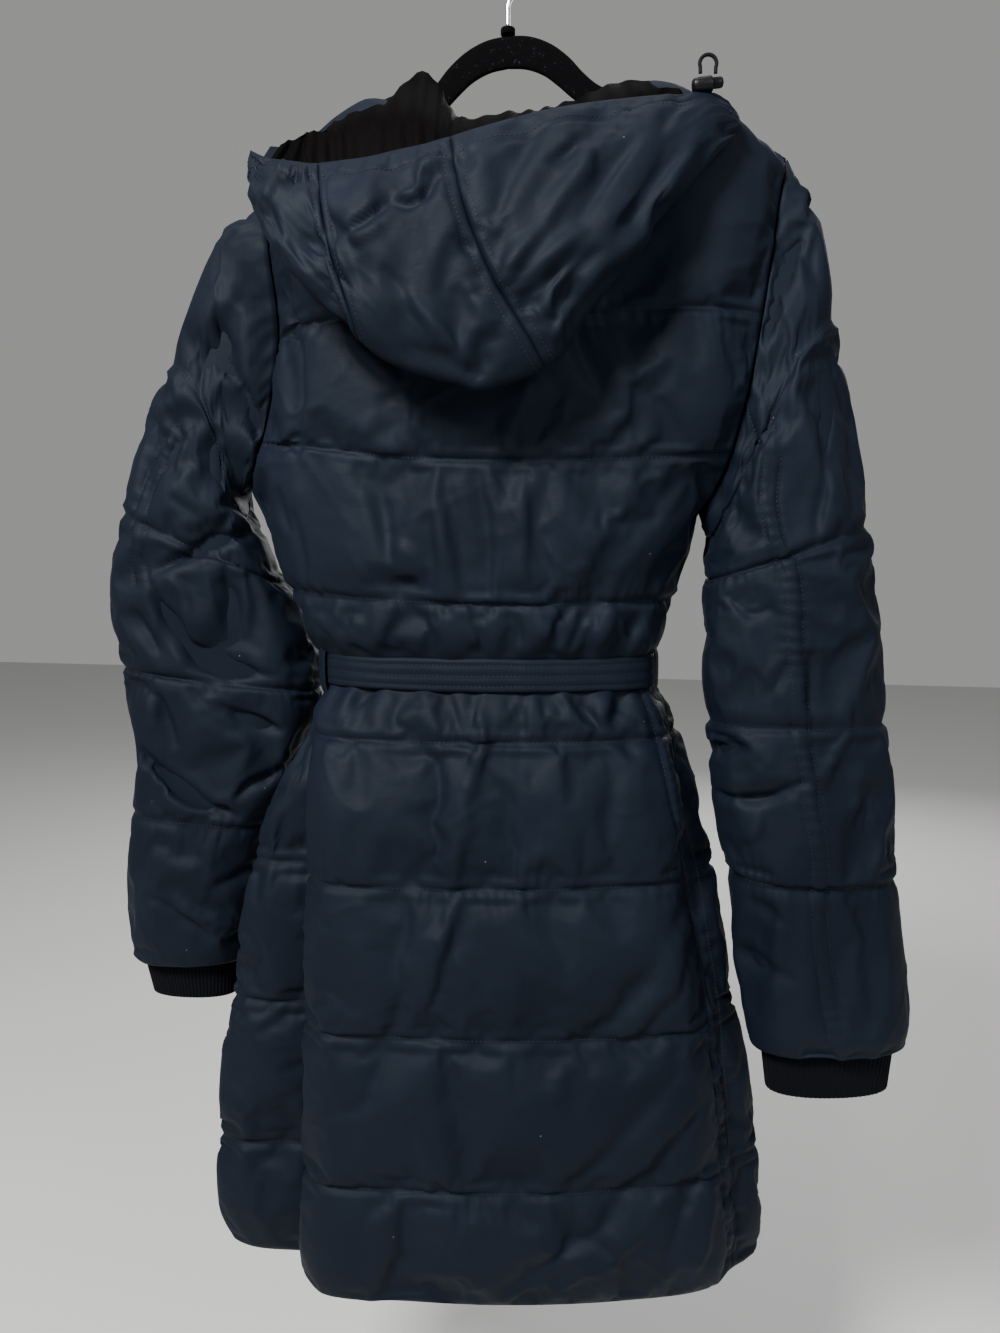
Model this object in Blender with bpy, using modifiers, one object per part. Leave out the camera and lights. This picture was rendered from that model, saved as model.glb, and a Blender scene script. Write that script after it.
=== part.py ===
"""A long quilted coat with a hood and a tied belt, hanging from a slim hanger.

Sizes and tables are in millimetres. The origin is where a rail bears on the inside of the hook,
+Z is up, X runs along the hanger and the coat's back faces -Y. The coat's tables are in a frame of
their own, turned by COAT_TURN about Z, because the skirt hangs turned from the hanger.
"""

import math

import bmesh
import bpy
import numpy as np

MM = 0.001
COAT_TURN = math.radians(12.0)
SEAM_GAP = 0.3

# Quilted wall: thickness at a stitched line, height of a channel, and how far the stitched lines
# lie inside the tables' outline.
WALL = 3.0
PUFF = 9.0
SUNK = 5.0
SEAM_REACH = 26.0
CHANNEL_STEPS = (0.0, 0.16, 0.5, 0.84)
BELT_CHANNEL_STEPS = (0.0, 0.16, 0.35, 0.62, 0.84)

# Heights of the stitched lines, from the hem up to the yoke's lower line.
HEM_Z = -1023.0
QUILT_Z = (-929.0, -810.0, -696.0, -589.0, -489.0, -388.0, -284.0)
YOKE_STEPS = (0.15, 0.34, 0.54, 0.74, 0.9, 1.0)
YOKE_BULGE = 6.0
SHOULDER_ROUND = 0.6
PIT_Z = -438.5
CENTRE_X = -10.0
PLACKET_HALF = 27.0

BELT_Z = -541.0
BELT_HEIGHT = 24.0
BELT_THICK = 3.0
BELT_LIFT = 1.2
BELT_PINCH = 0.75
KNOT_SIZE = (34.0, 13.0, 34.0)
BELT_PINCH_REACH = 24.0
KNOT_ROUND = 5.5
# The belt's hanging ends: x at the knot and at the end, and height of the end.
BELT_ENDS = {"left": (-20.0, -52.0, -790.0), "right": (2.0, 24.0, -760.0)}
BELT_END_HALF = 11.0
BELT_END_CLEAR = 2.5
# Loops on the back that carry the belt: x of each, half width, and heights beside the belt's middle
# with how far each point stands over the belt.
BELT_LOOP_X = {"left": -139.0, "right": 108.0}
BELT_LOOP_HALF = 5.5
BELT_LOOP_THICK = 1.4
BELT_LOOP_SEAT = 0.9
BELT_LOOP_ROWS = (
    (24.0, 0.0), (18.0, 0.5), (12.6, 1.0), (0.0, 1.0), (-12.6, 1.0), (-18.0, 0.5), (-24.0, 0.0),
)
CINCH_PLEATS = 11
CINCH_HEIGHT = 5.0
CINCH_REACH = 48.0

PLACKET_LIFT = 0.5
PLACKET_THICK = 3.0

HOOD_WALL = 6.0
HOOD_STEPS = 16
# How near the back's points are looked for under the hood, its clearance over them, and the part of
# the far edge that is sewn to the neckline.
HOOD_REACH = 15.0
HOOD_CLEAR = 4.0
HOOD_NECK = (0.28, 0.88)
LINING_THICK = 1.2
LINING_PLEATS = 8
LINING_PLEAT_HEIGHT = 1.6

# Cord lock and its elastic loop, at the hood's rim.
LOCK_RADIUS = 5.0
LOCK_LENGTH = 20.0
LOCK_PLACE = 0.955
LOCK_FROM_RIM = (0.0, -5.0, 7.6)
ELASTIC_RADIUS = 1.25
ELASTIC_HALF = 5.5
ELASTIC_RISE = 6.0

HANGER_THICK = 5.0
HANGER_ROUND = 1.2
NUB_RADIUS = 5.5
NUB_HEIGHT = 5.0
NUB_Z = -64.1
WIRE_RADIUS = 1.75
HOOK_INNER_RADIUS = 17.0

COLOURS = {
    "shell": (0.012, 0.014, 0.019, 1.0),
    "lining": (0.014, 0.010, 0.009, 1.0),
    "rib": (0.006, 0.006, 0.009, 1.0),
    "velvet": (0.004, 0.004, 0.006, 1.0),
    "chrome": (0.78, 0.78, 0.80, 1.0),
    "plastic": (0.010, 0.010, 0.012, 1.0),
}

# Back panel, a row for each height: heights of its middle and two edges, then x and y of the left
# seam, the outermost point of the left fold, the turn onto the back, the middle, the turn at the
# right, and the right seam. Above the armpits the seams are read from the armholes.
BACK_COLUMNS = (
    "z", "z_left", "z_right", "seam_l_x", "seam_l_y", "wrap_x", "wrap_y",
    "turn_x", "turn_y", "mid_y", "edge_x", "edge_y", "seam_r_x", "seam_r_y",
)
BACK_ROWS = (
    (-284, -290, -288, -177, -8, -166, -32, -140, -58, -88, 140, -97, 177, -85),
    (-350, -347, -352, -190, -4, -172, -30, -146, -56, -90, 138, -92, 166, -80),
    (-438.5, -404, -428, -207, 22, -192, -8, -160, -44, -90, 122, -72, 143, -40),
    (-466, -446, -460, -188, 12, -180, -14, -152, -48, -89, 114, -68, 136, -36),
    (-512, -512, -512, -163, 6, -157, -18, -136, -50, -86, 104, -64, 121, -32),
    (-546, -546, -546, -148, 4, -142, -18, -122, -46, -78, 96, -56, 113, -28),
    (-575, -575, -575, -147, -8, -149, -34, -132, -58, -86, 108, -62, 124, -32),
    (-620, -620, -620, -141, -28, -149, -54, -135, -76, -95, 118, -74, 133, -44),
    (-700, -700, -700, -142, -32, -153, -60, -137, -84, -99, 122, -80, 138, -54),
    (-804, -804, -804, -143, -34, -156, -62, -139, -87, -102, 138, -84, 160, -60),
    (-926, -926, -926, -144, -38, -160, -66, -142, -90, -104, 152, -86, 176, -62),
    (-1000, -1000, -1000, -146, -40, -162, -68, -144, -91, -104, 158, -86, 181, -62),
    (-1023, -1023, -1023, -147, -40, -159, -66, -143, -87, -100, 157, -82, 181, -60),
)

# Fronts, a row for each height: x and y of the panel that shows beyond the back's left fold, of its
# outer edge, the left flank, the middle, the right flank and the right outer edge.
FRONT_COLUMNS = (
    "z", "pre_l_x", "pre_l_y", "out_l_x", "out_l_y", "flank_l_x", "flank_l_y",
    "mid_y", "flank_r_x", "flank_r_y", "out_r_x", "out_r_y",
)
FRONT_ROWS = (
    (-284, -170, 84, -145, 88, -85, 84, 64, 85, 44, 150, 22),
    (-350, -176, 82, -150, 86, -90, 82, 64, 85, 44, 148, 20),
    (-438.5, -194, 46, -173, 66, -105, 76, 62, 88, 44, 134, 6),
    (-466, -186, 34, -170, 56, -100, 70, 61, 86, 44, 130, 4),
    (-512, -162, 26, -148, 44, -90, 62, 58, 82, 42, 119, -2),
    (-546, -147, 20, -134, 36, -82, 52, 50, 76, 34, 112, -4),
    (-575, -150, 4, -146, 20, -92, 54, 55, 84, 40, 128, -6),
    (-620, -162, -20, -174, -10, -112, 48, 58, 96, 42, 144, -18),
    (-700, -190, -27, -205, -16, -128, 42, 59, 112, 42, 163, -30),
    (-804, -208, -30, -223, -18, -140, 42, 60, 128, 42, 181, -34),
    (-926, -222, -33, -238, -20, -150, 42, 61, 145, 44, 202, -38),
    (-1000, -220, -35, -236, -22, -152, 42, 61, 148, 44, 204, -40),
    (-1023, -212, -34, -228, -22, -148, 40, 58, 145, 41, 201, -40),
)

# Columns of cells between the points of a row.
BACK_CELLS = (2, 2, 3, 4, 4, 3, 3)
FRONT_LEFT_CELLS = (3, 2, 4, 3, 1)
FRONT_RIGHT_CELLS = (3, 4, 3, 1)

# Armholes from the shoulder's tip down to the armpit: height, x, and y of the back and front edges.
ARMHOLE_COLUMNS = ("z", "x", "back_y", "front_y")
ARMHOLES = {
    "left": (
        (-170, -195, 38, 42), (-184, -192, 25, 53), (-218, -186, 8, 64), (-290, -177, -8, 76),
        (-347, -188, -4, 76), (-385, -200, 3, 60), (-399, -206, 14, 40), (-404, -207, 22, 26),
    ),
    "right": (
        (-168, 199, -46, -42), (-181, 196, -58, -30), (-214, 189, -72, -14), (-288, 177, -85, 6),
        (-352, 167, -80, 8), (-400, 155, -66, -6), (-422, 145, -50, -26), (-428, 143, -42, -38),
    ),
}

# Top edges, from the left shoulder's tip to the right one.
TOP_BACK = (
    (-195, 38, -170), (-150, 31, -136), (-98, 20, -110.5), (-60, -4, -131),
    (0, -18, -139), (60, -26, -132), (98, -22, -110.5), (150, -34, -135), (199, -46, -168),
)
TOP_FRONT = (
    (-195, 42, -170), (-150, 34, -136), (-98, 24, -110.5), (-75, 40, -130), (-42, 52, -152),
    (CENTRE_X, 54, -162), (28, 42, -152), (66, 18, -129), (98, -18, -110.5), (150, -31, -135),
    (199, -42, -168),
)

# Soft ridges of the back: top and bottom of each in x and z, half its width and its height.
BACK_FOLDS = (
    ("centre", 34, -400, -6, -830, 20, 5.0),
    ("left_of_centre", -70, -600, -62, -820, 18, 3.0),
    ("right_slant", 138, -720, 70, -960, 16, 4.5),
    ("right_slant_low", 150, -860, 98, -1010, 13, 4.0),
    ("waist_left", -96, -470, -60, -560, 13, 4.0),
    ("chest_left", -150, -330, -96, -470, 16, 4.0),
    ("chest_right", 120, -340, 66, -470, 18, 3.0),
)

# Sleeves below the armholes, a row for each ring: x and z of its outer and inner points, its depth
# in y and half its thickness there. The last row is the sleeve's end.
SLEEVE_COLUMNS = ("outer_x", "outer_z", "inner_x", "inner_z", "mid_y", "half_depth")
SLEEVES = {
    "left": (
        (-220, -199, -217, -408, 34, 42), (-234, -216, -217, -417, 36, 44),
        (-256, -263, -213, -430, 38, 46), (-283, -327, -206, -447, 38, 46),
        (-308, -392, -196, -467, 38, 45), (-324, -456, -181, -494, 38, 44),
        (-327, -502, -165, -530, 38, 43), (-321, -559, -159, -577, 38, 42),
        (-315, -628, -184, -645, 38, 41), (-323, -700, -209, -707, 39, 40),
        (-325, -760, -221, -765, 40, 37), (-324, -800, -223, -800, 40, 32),
    ),
    "right": (
        (218, -200, 149, -440, -42, 46), (228, -240, 150, -447, -45, 48),
        (239, -307, 149, -454, -48, 48), (253, -378, 148, -462, -51, 47),
        (266, -450, 147, -477, -53, 46), (273, -500, 147, -506, -55, 45),
        (278, -546, 147, -548, -55, 44), (289, -637, 158, -637, -55, 43),
        (299, -731, 175, -731, -56, 41), (307, -795, 186, -800, -57, 39),
        (308, -826, 189, -830, -57, 35),
    ),
}
# Places of the sleeves' stitched lines, as rows of the table above.
SLEEVE_LINES = {"left": (2.6, 4.4, 6.8, 8.55, 11.0), "right": (1.7, 3.73, 6.38, 7.6, 10.0)}
# How far a sleeve starts outside the armhole's seam.
SLEEVE_SET = 1.9
# Slanting crumples: around the sleeve in parts of a turn, along it in rows, then reach and height.
SLEEVE_FOLDS = {
    "left": (
        (0.12, 2.2, 0.40, 4.6, 0.045, 6.0), (0.30, 3.4, 0.08, 5.6, 0.05, 6.0),
        (0.38, 4.8, 0.16, 6.6, 0.05, 7.0), (0.10, 6.2, 0.36, 7.6, 0.045, 7.0),
        (0.40, 7.0, 0.14, 8.6, 0.045, 6.0), (0.62, 4.2, 0.88, 6.6, 0.05, 5.0),
        (0.88, 6.8, 0.64, 8.4, 0.05, 5.0),
    ),
    "right": (
        (0.34, 1.6, 0.20, 3.4, 0.05, 4.0), (0.12, 6.3, 0.34, 7.0, 0.045, 3.5),
        (0.36, 5.2, 0.20, 6.2, 0.05, 3.5), (0.14, 8.9, 0.36, 9.4, 0.045, 3.0),
        (0.66, 2.4, 0.86, 4.2, 0.05, 3.5),
    ),
}

CUFF_INSIDE = 10.0
CUFF_WALL = 3.0
CUFF_RIBS = 24
CUFF_RIB_HEIGHT = 0.7
# Cuffs: x and z of the outer and inner point at the open end, depth in y and half thickness.
CUFF_ENDS = {"left": (-307, -829, -236, -831, 39, 19), "right": (296, -865, 203, -867, -56, 21)}

# Hood, a row for each line that runs from the rim down to the bottom fold and up to the neck: its
# place across, then x, y and z of the rim, the bottom and the far edge.
HOOD_COLUMNS = (
    "u", "rim_x", "rim_y", "rim_z", "low_x", "low_y", "low_z", "far_x", "far_y", "far_z",
)
HOOD_ROWS = (
    (0.00, -178, -74, -178, -176, -84, -200, -167, -66, -172),
    (0.10, -164, -84, -187, -170, -98, -222, -156, -58, -169),
    (0.20, -143, -94, -193, -151, -112, -260, -142, -46, -157),
    (0.33, -127, -98, -195, -96, -125, -314, -120, 8, -119),
    (0.45, -88, -110, -195, -58, -127, -333, -86, 6, -113),
    (0.54, -58, -114, -190, -20, -130, -344, -50, -14, -130),
    (0.62, -38, -116, -185, 23, -132, -331, -2, -24, -136),
    (0.74, 28, -115, -168, 48, -130, -300, 42, -30, -132),
    (0.83, 73, -110, -160, 79, -125, -266, 82, -32, -118),
    (0.91, 108, -104, -155, 108, -118, -228, 112, -66, -137),
    (0.97, 138, -96, -153, 137, -106, -189, 134, -72, -153),
    (1.00, 153, -88, -159, 154, -96, -172, 146, -78, -158),
)
# Panels of the hood: where each starts and ends across, and its columns of cells.
HOOD_PANELS = (
    ("hood_left", 0.0, 0.33, 6), ("hood_centre", 0.33, 0.62, 6), ("hood_right", 0.62, 1.0, 8),
)
HOOD_BULGE = 16.0

# Right half of the hanger: x and z of its outer and inner edges.
HANGER_COLUMNS = ("outer_x", "outer_z", "inner_x", "inner_z")
HANGER_ROWS = (
    (0, -67, 0, -90), (17, -69.2, 14, -91.8), (32.5, -75.7, 27, -97.2), (46, -86, 38, -105.6),
    (57, -98, 48, -114.5), (67, -107, 58, -122), (80, -114, 72, -129.5), (100, -123.5, 94, -139),
    (130, -137, 122, -152), (160, -150.5, 152, -164.5), (180, -163, 169, -174),
    (193, -177, 180, -182), (197, -187, 182, -187), (192, -195, 176, -189.5),
    (155, -199, 154, -190.5), (80, -202, 80, -193), (0, -203, 0, -194),
)
# The hook's stem and bend in the hanger's plane, up to where its round part starts.
HOOK_STEM = ((0.0, -61.3), (0.0, -52.0), (0.4, -44.0), (5.0, -37.5))
HOOK_START = math.radians(-48.0)
HOOK_END = math.radians(205.0)
HOOK_STEPS = 18


def column(rows, names, name):
    """One named column of a table."""
    return np.array([row[names.index(name)] for row in rows], float)


def smooth(at, values, x):
    """Cubic curve through values at increasing or decreasing places."""
    at, values, x = np.asarray(at, float), np.asarray(values, float), np.atleast_1d(x)
    if at[0] > at[-1]:
        at, values = at[::-1], values[::-1]
    slopes = np.gradient(values, at)
    i = np.clip(np.searchsorted(at, x) - 1, 0, len(at) - 2)
    h = at[i + 1] - at[i]
    t = np.clip((x - at[i]) / h, 0.0, 1.0)
    return (
        (2 * t**3 - 3 * t**2 + 1) * values[i] + (t**3 - 2 * t**2 + t) * h * slopes[i]
        + (-2 * t**3 + 3 * t**2) * values[i + 1] + (t**3 - t**2) * h * slopes[i + 1]
    )


def through(points, cells):
    """Points of a smooth curve through the given ones, with so many cells in each span."""
    points = np.array(points, float)
    steps = np.linalg.norm(np.diff(points, axis=0), axis=1) ** 0.5
    at = np.concatenate(([0.0], np.cumsum(steps)))
    x = np.concatenate(
        [np.linspace(at[i], at[i + 1], n, endpoint=False) for i, n in enumerate(cells)] + [[at[-1]]]
    )
    return np.stack([smooth(at, points[:, k], x) for k in range(3)], axis=1)


def lengths(points):
    """Length along a line of points, from 0 to 1."""
    steps = np.linalg.norm(np.diff(points, axis=0), axis=1)
    return np.concatenate(([0.0], np.cumsum(steps))) / steps.sum()


def quiet_ends(places):
    """1 in the middle of a row and 0 at its ends."""
    return np.sqrt(np.clip(np.sin(math.pi * places), 0.0, 1.0))


def row_places(grid):
    """Length along each row of a grid, from 0 to 1."""
    return np.array([lengths(row) for row in grid])


def unit(vectors):
    return vectors / np.maximum(np.linalg.norm(vectors, axis=-1, keepdims=True), 1e-9)


def grid_normals(grid, closed=False):
    """Unit normals of a grid of points, facing away from the coat's inside for rows that run
    down it and columns that run round it from -X over -Y to +X."""
    down = np.gradient(grid, axis=0)
    if closed:
        across = np.roll(grid, -1, axis=1) - np.roll(grid, 1, axis=1)
    else:
        across = np.gradient(grid, axis=1)
    return unit(np.cross(down, across))


def soften(normals):
    """Normals evened out along each row but the first, the rows' ends kept."""
    for _ in range(2):
        normals[1:, 1:-1] = unit(normals[1:, :-2] + 2.0 * normals[1:, 1:-1] + normals[1:, 2:])
    return normals


def armhole_edge(side, face, z):
    """A point of the armhole's back or front edge at a height."""
    rows = ARMHOLES[side]
    at = column(rows, ARMHOLE_COLUMNS, "z")
    x = smooth(at, column(rows, ARMHOLE_COLUMNS, "x"), z)[0]
    y = smooth(at, column(rows, ARMHOLE_COLUMNS, face + "_y"), z)[0]
    return np.array((x, y, float(z)))


def armhole_normal(side, face, z):
    """Direction shared by the body's wall and the sleeve's where they meet."""
    step = 4.0
    top, bottom = ARMHOLES[side][0][0], ARMHOLES[side][-1][0]
    a = armhole_edge(side, face, min(z + step, top))
    b = armhole_edge(side, face, max(z - step, bottom))
    along = a - b
    outward = -1.0 if side == "left" else 1.0
    facing = -1.0 if face == "back" else 1.0
    radial = np.array((0.0, facing * abs(along[2]), along[1] * -facing))
    if z >= top - 1.0:
        radial = np.array((0.0, 0.0, 1.0))
    if z <= bottom + 1.0:
        radial = np.array((0.0, 0.0, -1.0))
    return unit(unit(radial) + np.array((0.35 * outward, 0.0, 0.0)))


def body_heights():
    """Heights of the rows of the body's panels below the yoke, with each one's place in its
    channel, from the yoke's lower line down to the hem."""
    lines = (HEM_Z,) + QUILT_Z
    heights = [(lines[-1], 0.0)]
    for low, high in reversed(list(zip(lines[:-1], lines[1:]))):
        steps = BELT_CHANNEL_STEPS if low < BELT_Z < high else CHANNEL_STEPS
        for t in reversed(steps):
            heights.append((low + (high - low) * t, t))
    return heights


def back_row(z):
    """Points of the back panel at one height."""
    at = column(BACK_ROWS, BACK_COLUMNS, "z")
    v = {n: smooth(at, column(BACK_ROWS, BACK_COLUMNS, n), z)[0] for n in BACK_COLUMNS}
    left, right = (v["seam_l_x"], v["seam_l_y"]), (v["seam_r_x"], v["seam_r_y"])
    if z >= PIT_Z:
        left = armhole_edge("left", "back", v["z_left"])[:2]
        right = armhole_edge("right", "back", v["z_right"])[:2]
    plan = [
        left, (v["wrap_x"], v["wrap_y"]), (v["turn_x"], v["turn_y"]),
        (0.5 * (v["turn_x"] + 0.0), 0.3 * v["turn_y"] + 0.7 * v["mid_y"]), (0.0, v["mid_y"]),
        (0.55 * v["edge_x"], 0.25 * v["edge_y"] + 0.75 * v["mid_y"]),
        (v["edge_x"], v["edge_y"]), right,
    ]
    share = [abs(p[0]) / abs(plan[0 if p[0] < 0 else -1][0]) for p in plan]
    ends = [v["z_left"] if p[0] < 0 else v["z_right"] for p in plan]
    points = [(p[0], p[1], z + (e - z) * min(s, 1.0) ** 2) for p, s, e in zip(plan, share, ends)]
    return through(points, BACK_CELLS)


def front_row(z, side):
    """Points of one front at one height, from its side seam to the middle."""
    at = column(FRONT_ROWS, FRONT_COLUMNS, "z")
    v = {n: smooth(at, column(FRONT_ROWS, FRONT_COLUMNS, n), z)[0] for n in FRONT_COLUMNS}
    seam = back_row(z)[0 if side == "left" else -1]
    if z >= PIT_Z:
        seam = armhole_edge(side, "front", seam[2])
    if side == "left":
        plan = [(v["pre_l_x"], v["pre_l_y"]), (v["out_l_x"], v["out_l_y"])]
        plan += [(v["flank_l_x"], v["flank_l_y"])]
        cells = FRONT_LEFT_CELLS
    else:
        plan = [(v["out_r_x"], v["out_r_y"]), (v["flank_r_x"], v["flank_r_y"])]
        cells = FRONT_RIGHT_CELLS
    beside = PLACKET_HALF if side == "right" else -PLACKET_HALF
    plan.append((CENTRE_X + beside, v["mid_y"] - 1.0))
    plan.append((CENTRE_X, v["mid_y"]))
    points = [seam]
    for x, y in plan:
        share = min(abs(x - CENTRE_X) / abs(seam[0] - CENTRE_X), 1.0) ** 2
        points.append((x, y, z + (seam[2] - z) * share))
    return through(points, cells)


def top_row(line, like):
    """A panel's top edge, with its points spaced like those of the row below the yoke."""
    dense = through(line, (12,) * (len(line) - 1))
    at = lengths(dense)
    return np.stack([np.interp(lengths(like), at, dense[:, k]) for k in range(3)], axis=1)


def half_top(side):
    """The top edge of one front, from the shoulder's tip to the middle."""
    middle = [p[0] for p in TOP_FRONT].index(CENTRE_X)
    return TOP_FRONT[: middle + 1] if side == "left" else TOP_FRONT[middle:][::-1]


def panel_grid(row_at, top_line, bulge_y, edges):
    """Rows of a panel from its top edge down, with each row's place in its channel. Its edges
    along an armhole are given as (column, side, face)."""
    heights = body_heights()
    yoke = row_at(heights[0][0])
    top = top_row(top_line, yoke)
    rows, places = [], []
    for t in reversed(YOKE_STEPS):
        row = yoke + (top - yoke) * t
        rounded = 1.0 - math.cos(math.asin(t)) ** SHOULDER_ROUND if t < 1.0 else 1.0
        row[:, 1] = yoke[:, 1] + (top[:, 1] - yoke[:, 1]) * rounded
        row[:, 1] += bulge_y * math.sin(math.pi * t) * quiet_ends(lengths(yoke))
        for edge, side, face in edges:
            moved = armhole_edge(side, face, row[edge, 2]) - row[edge]
            nearness = np.clip(1.0 - lengths(row) * 4.0, 0.0, 1.0)
            row += moved * (nearness if edge == 0 else nearness[::-1])[:, None]
        rows.append(row)
        places.append(t)
    for z, place in heights:
        rows.append(row_at(z))
        places.append(place)
    return np.array(rows), np.array(places)


def ridge(x, z, fold):
    """Height of one soft ridge at places of the back."""
    _, x0, z0, x1, z1, half_width, height = fold
    t = (z - z0) / (z1 - z0)
    middle = x0 + (x1 - x0) * t
    along = np.clip(np.minimum(t, 1.0 - t) / 0.25, 0.0, 1.0)
    inside = (t > 0.0) & (t < 1.0)
    return height * inside * np.sin(along * math.pi / 2) * np.exp(-(((x - middle) / half_width) ** 2))


def cinch(grid):
    """Pleats that the belt gathers, deepest at the belt."""
    place = row_places(grid)
    away = grid[:, :, 2] - BELT_Z
    reach = np.exp(-((away / CINCH_REACH) ** 2)) * (1.0 - np.exp(-((away / BELT_HEIGHT) ** 2)))
    return CINCH_HEIGHT * reach * quiet_ends(place) * np.sin(2 * math.pi * CINCH_PLEATS * place)


def channel_height(grid, places):
    """Height of the quilting over the stitched surface: full in a channel's middle and none at
    stitched lines and seams."""
    height = PUFF * np.sin(math.pi * np.clip(places, 0.0, 1.0)) ** 0.6
    height = np.repeat(height[:, None], grid.shape[1], axis=1)
    for i, row in enumerate(grid):
        steps = np.concatenate(([0.0], np.cumsum(np.linalg.norm(np.diff(row, axis=0), axis=1))))
        for reach in (steps, steps[-1] - steps):
            height[i] *= np.minimum(reach / SEAM_REACH, 1.0) ** 0.5
    pinch = 1.0 - BELT_PINCH * np.exp(-(((grid[:, :, 2] - BELT_Z) / BELT_PINCH_REACH) ** 2))
    return height * pinch


def wall_faces(rows, cols, closed, other_way=()):
    """Quads of an outer grid, an inner grid after it, and the rims between them. The columns of
    cells in other_way are split along their other diagonal."""
    def outer(i, j):
        return i * cols + j % cols

    def inner(i, j):
        return rows * cols + i * cols + j % cols

    faces = []
    spans = cols if closed else cols - 1
    for i in range(rows - 1):
        for j in range(spans):
            corners = [(i, j), (i + 1, j), (i + 1, j + 1), (i, j + 1)]
            if j in other_way:
                corners = corners[1:] + corners[:1]
            faces.append([outer(*corner) for corner in corners])
            faces.append([inner(*corner) for corner in (corners[0], *corners[:0:-1])])
    for j in range(spans):
        faces.append((outer(0, j), outer(0, j + 1), inner(0, j + 1), inner(0, j)))
        last = rows - 1
        faces.append((outer(last, j), inner(last, j), inner(last, j + 1), outer(last, j + 1)))
    if not closed:
        for i in range(rows - 1):
            faces.append((outer(i, 0), inner(i, 0), inner(i + 1, 0), outer(i + 1, 0)))
            end = cols - 1
            faces.append((outer(i, end), outer(i + 1, end), inner(i + 1, end), inner(i, end)))
    return faces


def material(kind):
    made = bpy.data.materials.get(kind)
    if made is None:
        made = bpy.data.materials.new(kind)
        made.use_nodes = True
        shader = made.node_tree.nodes["Principled BSDF"]
        shader.inputs["Base Color"].default_value = COLOURS[kind]
        shader.inputs["Roughness"].default_value = {"chrome": 0.15, "velvet": 0.95}.get(kind, 0.5)
        shader.inputs["Metallic"].default_value = 1.0 if kind == "chrome" else 0.0
    return made


def face_out(mesh):
    """Turns a closed mesh's faces to point out of it."""
    work = bmesh.new()
    work.from_mesh(mesh)
    if work.calc_volume(signed=True) < 0.0:
        bmesh.ops.reverse_faces(work, faces=work.faces)
    work.to_mesh(mesh)
    work.free()


def add_mesh(name, points, faces, kind, turned=True):
    """A mesh object from points in millimetres, in the coat's frame or the hanger's."""
    points = np.array(points, float)
    if turned:
        c, s = math.cos(COAT_TURN), math.sin(COAT_TURN)
        x, y = points[:, 0].copy(), points[:, 1].copy()
        points[:, 0], points[:, 1] = c * x - s * y, s * x + c * y
    mesh = bpy.data.meshes.new(name)
    mesh.from_pydata([tuple(p) for p in points * MM], [], faces)
    face_out(mesh)
    mesh.shade_smooth()
    obj = bpy.data.objects.new(name, mesh)
    obj.data.materials.append(material(kind))
    collection.objects.link(obj)
    return obj


def add_wall(name, outer, inner, kind, closed=False, other_way=()):
    """A wall between an outer and an inner grid of points."""
    rows, cols = outer.shape[:2]
    points = np.concatenate((outer.reshape(-1, 3), inner.reshape(-1, 3)))
    return add_mesh(name, points, wall_faces(rows, cols, closed, other_way), kind)


def trim(grid, left, right, top=0.0, bottom=0.0):
    """Edge points moved back along the panel, which leaves the gaps at seams."""
    out = grid.copy()
    out[:, 0] += unit(grid[:, 1] - grid[:, 0]) * left
    out[:, -1] += unit(grid[:, -2] - grid[:, -1]) * right
    out[0] += unit(grid[1] - grid[0]) * top
    out[-1] += unit(grid[-2] - grid[-1]) * bottom
    return out


def share_normals(first, second):
    """The same direction for two edges that meet."""
    both = unit(first + second)
    first[...] = both
    second[...] = both


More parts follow.
